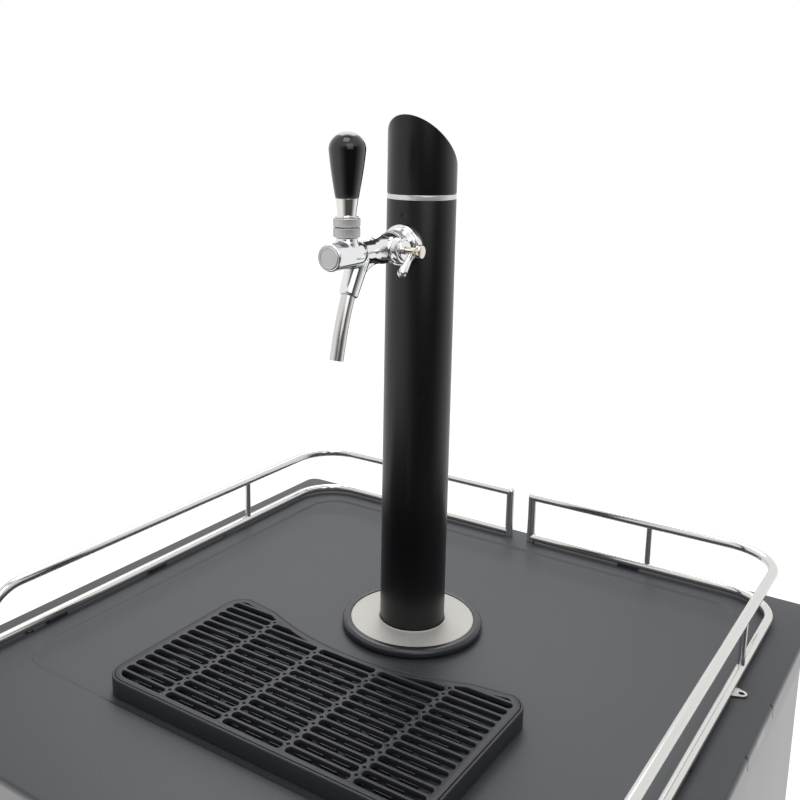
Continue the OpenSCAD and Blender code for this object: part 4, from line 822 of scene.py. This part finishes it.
rail_metal = satin_rail()
soft_node("rail_pads", "cabinet", rubber, width=0.0004)
for side_name, side in (("left", -1), ("right", 1)):
    bm = bmesh.new()
    side_run = rail_y - rail_corner + rail_front
    for height in (rail_top, rail_low):
        tube = Tubing(bm, foot + Vector((rail_gap, rail_y, height)), (1, 0, 0), rail_r)
        tube.run(rail_x - rail_corner - rail_gap).bend((0, 0, -1), rail_corner, 90)
        if height == rail_top:
            tube.run(side_run).bend((1, 0, 0), rail_bend, 90)
            tube.run(rail_top - rail_low - rail_bend)
        else:
            tube.run(side_run + rail_bend)
    ball_turn = [math.radians(a) for a in range(-90, 91, 15)]
    ball = [(ball_r * math.cos(a), ball_r * math.sin(a)) for a in ball_turn]
    for x, y, z in ((rail_gap, rail_y, rail_top), (rail_x, -rail_front - rail_bend, rail_low)):
        add(bm, lathe(ball, Matrix.Translation(foot + Vector((x, y, z))), 28))
    posts = (
        (rail_r, rail_gap, rail_y, post_foot, rail_top), (post_r, rail_x, post_side_y, rail_low, rail_top),
        (post_r, post_rear_x, rail_y, rail_low, rail_top), (peg_r, rail_gap, rail_y, peg_foot, rail_low),
        (peg_r, rail_x, -rail_front + peg_inset, peg_foot, rail_low),
    )
    for radius, x, y, low, high in posts:
        add(bm, rod(radius, foot + Vector((x, y, low)), foot + Vector((x, y, high)), 28))
    lug_at = foot + Vector((rail_x, lug_y, lug_z))
    eye_at = lug_at + Vector((lug_reach, 0, 0))
    lug = bmesh.new()
    lug_turn = [math.radians(a) for a in range(80, -81, -16)]
    outline = [(0, -lug_half), (0, lug_half)]
    outline += [(lug_reach + lug_eye_r * math.cos(a), lug_eye_r * math.sin(a)) for a in lug_turn]
    slab(lug, [lug_at + Vector((x, y, 0)) for x, y in outline], (0, 0, lug_thick))
    lug = carve(lug, rod(lug_hole_r, eye_at - Vector((0, 0, 0.001)), eye_at + Vector((0, 0, 0.004)), 32))
    soften(lug, 0.0003)
    add(bm, lug)
    weld_at = lug_at + Vector((-rail_r / 4, 0, (rail_low - lug_z) / 2))
    block(bm, weld_at, (rail_r / 2 + 0.0005, 2 * lug_half, rail_low - lug_z))
    if side < 0:
        bmesh.ops.scale(bm, vec=(-1, 1, 1), verts=bm.verts)
    bmesh.ops.recalc_face_normals(bm, faces=bm.faces)
    replaced = ["rail_" + side_name]
    finish_piece(bm, "guard_rail_" + side_name, "cabinet", rail_metal, replaced, smooth=50)


# ---------------------------------------------------------------- drip tray
# A black moulded pan with a lift-out grille of rounded bars. Rows of short ribs on the pan's floor
# keep the grille's middle up.
tray_low, tray_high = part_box("tray_pan")
grille_low, grille_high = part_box("tray_grille")
tray_x = (tray_low.x + tray_high.x) / 2
floor_thick, rib_height, rib_thick, rib_length = 0.0024, 0.0075, 0.0022, 0.015
rib_rows, rib_columns, rib_pitch_x, rib_pitch_y, rib_front = 12, 11, 0.0232, 0.0102, 0.018

tray_black = patchy(
    "tray_plastic", (0.02, 0.0215, 0.025), 0.42, gloss=(0.36, 0.14), patches=(20,), depth=0.00004,
    relief=(1300, 2), tints=((0.018, 0.0195, 0.023), (0.026, 0.0275, 0.031)), Specular_IOR_Level=0.4,
)
bm = node_copy("tray_pan")
soften(bm, 0.0008, segments=3)
for row in range(rib_rows):
    for column in range(rib_columns):
        x = tray_x + (column - (rib_columns - 1) / 2) * rib_pitch_x + (row % 3 - 1) * 0.004
        y = tray_low.y + rib_front + row * rib_pitch_y
        middle = (x, y, tray_low.z + floor_thick + rib_height / 2 - 0.0002)
        block(bm, middle, (rib_length, rib_thick, rib_height))
finish_piece(bm, "drip_pan", "tray", tray_black, ["tray_pan"])

slot_pitch, slot_half_wide, slot_widen, grille_margin = 0.0102, 0.003255, 1.2, 0.0032
first_row = grille_low.y + grille_margin + slot_pitch / 2
bm = node_copy("tray_grille")
bm.normal_update()
level_edges = [e for e in bm.edges if e.verts[0].co.z == e.verts[1].co.z]
walls = {e for e in level_edges if any(abs(f.normal.z) < 0.5 for f in e.link_faces)}
rim_verts = set()
reached = [v for v in bm.verts if v.co.x > grille_high.x - 0.0001]
while reached:
    vert = reached.pop()
    rim_verts.add(vert)
    around = [e.other_vert(vert) for e in vert.link_edges if e in walls]
    reached += [other for other in around if other not in rim_verts]
for vert in bm.verts:
    row_y = first_row + slot_pitch * round((vert.co.y - first_row) / slot_pitch)
    if vert not in rim_verts and abs(vert.co.y - row_y) < slot_half_wide:
        vert.co.y = row_y + (vert.co.y - row_y) * slot_widen
soften(bm, 0.0007)
finish_piece(bm, "slotted_grille", "grille", tray_black, ["tray_grille"])


# ---------------------------------------------------------------- tap
# A chromed brass casting: barrel, neck, lever's boss, flow control's boss, and a leaning socket for the
# spout with a web behind it. A coupling ring draws it onto a flange that fits the round of the column.
def forward(x=0.0, y=0.0, z=0.0):
    """Places a turned shape on the tap's line with its axis towards the front."""
    return Matrix.Translation((x, column_y + y, tap_z + z)) @ Matrix.Rotation(math.radians(90), 4, "X")


def knurl(bm, at, axis, low, high, depth, steps):
    """Presses every other column of a turned shape inwards between two places on its axis."""
    axis = Vector(axis)
    for vert in bm.verts:
        out = vert.co - Vector(at)
        along = out.dot(axis)
        radial = out - along * axis
        if low < along < high and radial.length > 1e-6:
            side_way = axis.orthogonal().normalized()
            turn = math.atan2(radial.dot(axis.cross(side_way)), radial.dot(side_way)) / (2 * math.pi) * steps
            if round(turn) % 2:
                vert.co -= radial.normalized() * depth


chrome = patchy(
    "bright_chrome", (0.8, 0.805, 0.815), 0.08, gloss=(0.06, 0.06), patches=(80,), depth=0.000005,
    relief=(160, 2), metallic=1.0,
)
frosted = patchy(
    "frosted_chrome", (0.56, 0.56, 0.565), 0.36, gloss=(0.3, 0.16), patches=(1200,), depth=0.00006,
    relief=(2600,), metallic=0.6,
)
spout_steel = patchy(
    "drawn_spout", (0.76, 0.745, 0.725), 0.2, gloss=(0.16, 0.08), patches=(600, 2, (1, 1, 0.05)),
    depth=0.000004, tints=((0.64, 0.625, 0.605), (0.7, 0.685, 0.67)), metallic=1.0,
)
lever_y, flow_y, neck_back = -0.112, -0.060, 0.049
barrel_r, neck_r, coupling_r, barrel_front = 0.011, 0.0095, 0.0135, 0.136
socket_y, socket_lean, socket_length = -0.093, math.radians(27), 0.037
spout_r, spout_start, spout_bend, spout_arc, spout_end = 0.00565, 0.026, 13, 0.204, 0.016
lever_at = Vector((0, column_y + lever_y, tap_z))
flow_at = Vector((0, column_y + flow_y, tap_z))
lean_down = Vector((0, -math.sin(socket_lean), -math.cos(socket_lean)))
socket_at = Vector((0, column_y + socket_y, tap_z))

for part in ("shank", "shank_nut", "tail_elbow"):
    soft_node(part, "cabinet", chrome, width=0.0003)

saddle_r, saddle_front = 0.0175, 0.041
saddle = [
    (0, 0.022), (saddle_r, 0.022), (saddle_r, 0.0335), (saddle_r - 0.0008, 0.0342),
    (saddle_r - 0.0016, 0.0342), (saddle_r - 0.0016, 0.0352), (saddle_r - 0.0026, 0.0360),
]
saddle += [(0.0145 - 0.001 * i + 0.0005 * (i % 2), 0.0362 + 0.0012 * i) for i in range(4)]
saddle += [(0.0112, saddle_front), (0, saddle_front)]
bm = lathe(saddle, forward(), 96)
soften(bm, 0.0002)
bm = carve(bm, rod(column_r + 0.0001, (0, column_y, tap_z - 0.05), (0, column_y, tap_z + 0.05), 160))
finish_piece(bm, "saddle_flange", "cabinet", chrome, ["shank_saddle"])

ring_steps, coupling_bore = 120, 0.0083
coupling = [
    (coupling_bore, saddle_front), (coupling_r - 0.0005, saddle_front), (coupling_r, 0.0415),
    (coupling_r, 0.0425), (coupling_r, 0.0475), (coupling_r, 0.0485), (coupling_r - 0.0005, neck_back),
    (coupling_bore, neck_back), (coupling_bore, saddle_front),
]
bm = lathe(coupling, forward(), ring_steps)
knurl(bm, (0, column_y, tap_z), (0, -1, 0), 0.0420, 0.0480, 0.0004, ring_steps)
finish_piece(bm, "knurled_coupling", "cabinet", frosted, ["coupling_ring"], smooth=25)

casting = bmesh.new()
neck_curve = [
    (0, 0.0492), (0.0118, 0.0492), (0.0125, 0.050), (0.0125, 0.066), (0.0117, 0.0705), (0.0103, 0.0755),
    (neck_r, 0.081), (neck_r, 0.096), (0.0103, 0.0985), (barrel_r, 0.1015), (barrel_r, 0.1345),
    (0.0106, 0.1358), (0.0100, barrel_front), (0, barrel_front),
]
lever_boss = [(0, -0.004), (0.0095, -0.004), (0.0095, 0.0095), (0.0086, 0.0115), (0.0085, 0.014), (0, 0.014)]
flow_boss = [(0, 0), (0.0105, 0), (0.0105, 0.0125), (0.010, 0.013), (0, 0.013)]
spout_boss = [
    (0, 0.004), (0.0094, 0.004), (0.0086, 0.020), (0.0078, 0.0362), (0.0070, socket_length),
    (0, socket_length),
]
top_stud = [(0, 0), (0.0032, 0), (0.0032, 0.0105), (0.0026, 0.0112), (0, 0.0112)]
sideways = Matrix.Translation(flow_at) @ Matrix.Rotation(math.radians(90), 4, "Y")
down_socket = Matrix.Translation(socket_at) @ lean_down.to_track_quat("Z", "X").to_matrix().to_4x4()
stud_place = Matrix.Translation(socket_at + Vector((0, 0.013, 0)))
for outline, place, steps in (
    (neck_curve, forward(), 64), (lever_boss, Matrix.Translation(lever_at), 48), (flow_boss, sideways, 48),
    (spout_boss, down_socket, 48), (top_stud, stud_place, 32),
):
    add(casting, lathe(outline, place, steps))
web_half = 0.0027
web_curve = [(-0.0705, -0.008), (-0.0705, -0.0112)]
web_curve += [(-0.0705 - 0.0345 * t, -0.0112 - 0.0228 * t * t) for t in (0.2, 0.4, 0.6, 0.8, 1.0)]
web_curve += [(-0.1035, -0.0065)]
slab(casting, [(-web_half, column_y + y, tap_z + z) for y, z in web_curve], (2 * web_half, 0, 0))
casting = bake_modifiers(casting)(
    ("REMESH", {"mode": "VOXEL", "voxel_size": 0.0005, "use_smooth_shade": True}),
    ("SMOOTH", {"factor": 0.5, "iterations": 34}),
)
plug_r, plug_depth = 0.0092, 0.004
slot_half, slot_front = 0.0027, 0.0075
slot = bmesh.new()
slot_at = lever_at + Vector((0, (slot_half - slot_front) / 2, 0.010))
block(slot, slot_at, (2 * slot_half, slot_front + slot_half, 0.026))
casting = carve(casting, slot)
plug_floor = Vector((0, column_y - barrel_front + plug_depth, tap_z))
casting = carve(casting, rod(plug_r + 0.0002, plug_floor, (0, column_y - 0.14, tap_z), 64))
finish_piece(casting, "tap_casting", "cabinet", chrome, ["tap_body"], smooth=50)

disc = [
    (0, -plug_depth), (plug_r - 0.0001, -plug_depth), (plug_r - 0.0001, 0), (plug_r - 0.0007, 0.0006),
    (plug_r - 0.0018, 0.0005), (plug_r - 0.0024, 0.0001), (0.004, 0.0003), (0, 0.0004),
]
bm = lathe([(radius, barrel_front + rise) for radius, rise in disc], forward(), 64)
finish_piece(bm, "front_disc", "cabinet", frosted, ["front_plug"], smooth=30)

bm = bmesh.new()
spout = Tubing(bm, socket_at + lean_down * spout_start, lean_down, spout_r, 40)
spout.bend((1, 0, 0), spout_arc, spout_bend, 20).run(spout_end)
lip = spout.end[0]
bmesh.ops.inset_region(bm, faces=[lip], thickness=0.0009, use_even_offset=True)
bmesh.ops.translate(bm, verts=lip.verts, vec=-spout.heading * 0.012)
bmesh.ops.remove_doubles(bm, verts=bm.verts, dist=1e-6)
bmesh.ops.recalc_face_normals(bm, faces=bm.faces)
finish_piece(bm, "bent_spout", "cabinet", spout_steel, ["spout"])


# ---------------------------------------------------------------- lever and handle
# Two knurled collars, the lower one fixed and the upper one on the lever's stem, a polished ferrule and
# a lacquered pear-shaped handle. The lever tips forward on a pin through the barrel.
collar_r, collar_low, collar_joint, collar_top = 0.0106, 0.014, 0.0215, 0.029
dome_r = math.hypot(collar_joint, collar_r)
stem_r, knuckle_r, finger_r = 0.0023, 0.0042, 0.0014
grip_low, grip_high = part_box("handle_grip")
grip_at = Vector((0, column_y + lever_y, grip_low.z))
grip_len, grip_r, grip_neck = grip_high.z - grip_low.z, grip_high.x, 0.0093
at_lever = Matrix.Translation(lever_at)
dome = [(dome_r * math.sin(a), dome_r * math.cos(a)) for a in (math.radians(d) for d in (20, 15, 10, 5, 0))]

collar = [
    (0, collar_low), (collar_r - 0.0008, collar_low), (collar_r, collar_low + 0.0006),
    (collar_r, collar_low + 0.0012), (collar_r, collar_joint - 0.0012), (collar_r, collar_joint - 0.0006),
    (collar_r - 0.0006, collar_joint),
]
bm = lathe(collar + dome, at_lever, ring_steps)
knurl(bm, lever_at, (0, 0, 1), collar_low + 0.0010, collar_joint - 0.0010, 0.00025, ring_steps)
slot_low, slot_high, slot_foot = 0.012, 0.0245, -0.0065
slot_head = slot_foot - (slot_high - slot_low) * math.tan(math.radians(18))
stem_path = [(slot_half, slot_low), (slot_foot, slot_low), (slot_head, slot_high), (slot_half, slot_high)]
slot = bmesh.new()
slab(slot, [lever_at + Vector((-slot_half, y, z)) for y, z in stem_path], (2 * slot_half, 0, 0))
finish_piece(carve(bm, slot), "lower_collar", "cabinet", frosted, ["tap_collar"], smooth=25)

hollow_r = dome_r + 0.0003
hollow_turn = [math.radians(d) for d in (6, 12, 18, 24)]
hollow = [(hollow_r * math.sin(a), hollow_r * math.cos(a)) for a in hollow_turn]
stem = [
    (0, -0.006), (finger_r, -0.006), (finger_r, -0.0038), (0.0034, -0.0025), (knuckle_r, 0),
    (0.0034, 0.0025), (stem_r, 0.0036), (stem_r, hollow[0][1]),
]
upper = [
    (collar_r - 0.0004, 0.0222), (collar_r, 0.0226), (collar_r, 0.0232), (collar_r, 0.0276),
    (collar_r, 0.0284), (collar_r - 0.0006, collar_top), (0, collar_top),
]
bm = lathe(stem + hollow + upper, at_lever, ring_steps)
knurl(bm, lever_at, (0, 0, 1), 0.0229, 0.0280, 0.00025, ring_steps)
add(bm, rod(0.002, lever_at - Vector((0.009, 0, 0)), lever_at + Vector((0.009, 0, 0)), 24))
finish_piece(bm, "lever_collar", "lever", frosted, ["tap_lever"], smooth=25)

ferrule_metal = patchy(
    "polished_ferrule", (0.8, 0.775, 0.745), 0.08, gloss=(0.06, 0.06), patches=(300,), depth=0.00001,
    relief=(200, 2), metallic=1.0,
)
ferrule_bore = 0.0024
ferrule = [
    (ferrule_bore, collar_top), (0.0088, collar_top), (0.0092, 0.0294), (0.0092, 0.0301), (0.0088, 0.0305),
    (0.0074, 0.0307), (0.0073, 0.0315), (0.0090, 0.0438), (0.0088, 0.0440), (ferrule_bore, 0.0440),
    (ferrule_bore, collar_top),
]
bm = lathe(ferrule, at_lever, 96)
soften(bm, 0.0001)
finish_piece(bm, "bright_ferrule", "lever", ferrule_metal, ["handle_ferrule"])

shoulder = grip_len - grip_r * 0.93
grip_edge = 0.0006
swell = []
for t in (k / 10 for k in range(11)):
    fullness = 0.62 * t + 0.38 * math.sin(t * math.pi / 2)
    swell.append((grip_neck + (grip_r - grip_neck) * fullness, grip_edge + (shoulder - grip_edge) * t))
top_turn = [math.radians(6 * k) for k in range(1, 15)]
crown = [(grip_r * math.cos(a), shoulder + (grip_len - shoulder) * math.sin(a)) for a in top_turn]
pear = [(0, 0), (grip_neck - 0.0004, 0)] + swell + crown + [(0, grip_len)]
bm = lathe(pear, Matrix.Translation(grip_at), 96)
lacquer = patchy(
    "handle_lacquer", (0.002, 0.002, 0.003), 0.12, gloss=(0.1, 0.08), patches=(50,), depth=0.00001,
    relief=(300, 2), Coat_Weight=0.3, Coat_Roughness=0.04,
)
finish_piece(bm, "pear_handle", "lever", lacquer, ["handle_grip"], smooth=60)


# ---------------------------------------------------------------- flow control
# A faceted bonnet on the tap's right side, a plated spindle with a round head, and a small lever that is
# screwed across the spindle.
bonnet_r, bonnet_low, bonnet_high, bonnet_top = 0.0105, 0.0131, 0.020, 0.022
spindle_r, head_r, spindle_top, head_thick = 0.003, 0.0056, 0.038, 0.005
lever_x, lever_lean, lever_len, lever_root_r, lever_tip_r = 0.0285, math.radians(45), 0.026, 0.0021, 0.0038
nickel = patchy(
    "warm_nickel", (0.78, 0.73, 0.62), 0.12, gloss=(0.08, 0.1), patches=(300,), depth=0.00001,
    relief=(200, 2), metallic=1.0,
)

bm = lathe(
    [(0, bonnet_low), (bonnet_r, bonnet_low), (bonnet_r, bonnet_high), (0, bonnet_high)],
    sideways @ Matrix.Rotation(math.radians(18), 4, "Z"), 10,
)
soften(bm, 0.0005, segments=2, sharper_than=20)
nose_r, nose_foot = 0.0085, bonnet_high - 0.001
nose = [
    (0, nose_foot), (nose_r, nose_foot), (nose_r, bonnet_top - 0.0006), (nose_r - 0.0006, bonnet_top),
    (0, bonnet_top),
]
add(bm, lathe(nose, sideways, 64))
bm = carve(bm, rod(spindle_r + 0.0003, flow_at + Vector((0.012, 0, 0)), flow_at + Vector((0.03, 0, 0))))
finish_piece(bm, "faceted_bonnet", "cabinet", chrome, ["flow_block"], smooth=25)

head_foot = spindle_top - head_thick
spindle = [
    (0, 0.013), (spindle_r, 0.013), (spindle_r, head_foot), (head_r - 0.0006, head_foot),
    (head_r, head_foot + 0.0006), (head_r, spindle_top - 0.0016), (head_r - 0.0005, spindle_top - 0.0006),
    (head_r - 0.0018, spindle_top), (0, spindle_top),
]
bm = lathe(spindle, sideways, 64)
soften(bm, 0.0001)
add(bm, rod(0.0009, flow_at + Vector((0.0056, 0, -0.0018)), flow_at + Vector((0.0135, 0, -0.0018)), 24))
finish_piece(bm, "flow_spindle", "flow_control", nickel, ["flow_knob"])

lever_place = (
    Matrix.Translation(flow_at + Vector((lever_x, 0, 0)))
    @ Matrix.Rotation(-lever_lean, 4, "X") @ Matrix.Rotation(math.radians(180), 4, "X")
)
tip = lever_len - lever_tip_r
tip_turn = [math.radians(a) for a in range(15, 91, 15)]
bm = lathe(
    [(0, spindle_r + 0.0001), (lever_root_r - 0.0003, spindle_r + 0.0001), (lever_root_r, spindle_r + 0.0004),
     (lever_root_r + 0.0006, spindle_r + 0.006), (lever_tip_r - 0.0003, tip - 0.004), (lever_tip_r, tip)]
    + [(lever_tip_r * math.cos(a), tip + lever_tip_r * math.sin(a)) for a in tip_turn],
    lever_place, 48,
)
hole_at = lever_place @ Vector((0, 0, tip))
bm = carve(bm, rod(0.0012, hole_at - Vector((0.006, 0, 0)), hole_at + Vector((0.006, 0, 0)), 24))
finish_piece(bm, "flow_handle", "flow_control", chrome, ["flow_lever"], smooth=50)
soft_node("tap_shuttle", "shuttle", steel, width=0.0002)
soft_node("flow_cone", "cone", steel, width=0.0002)
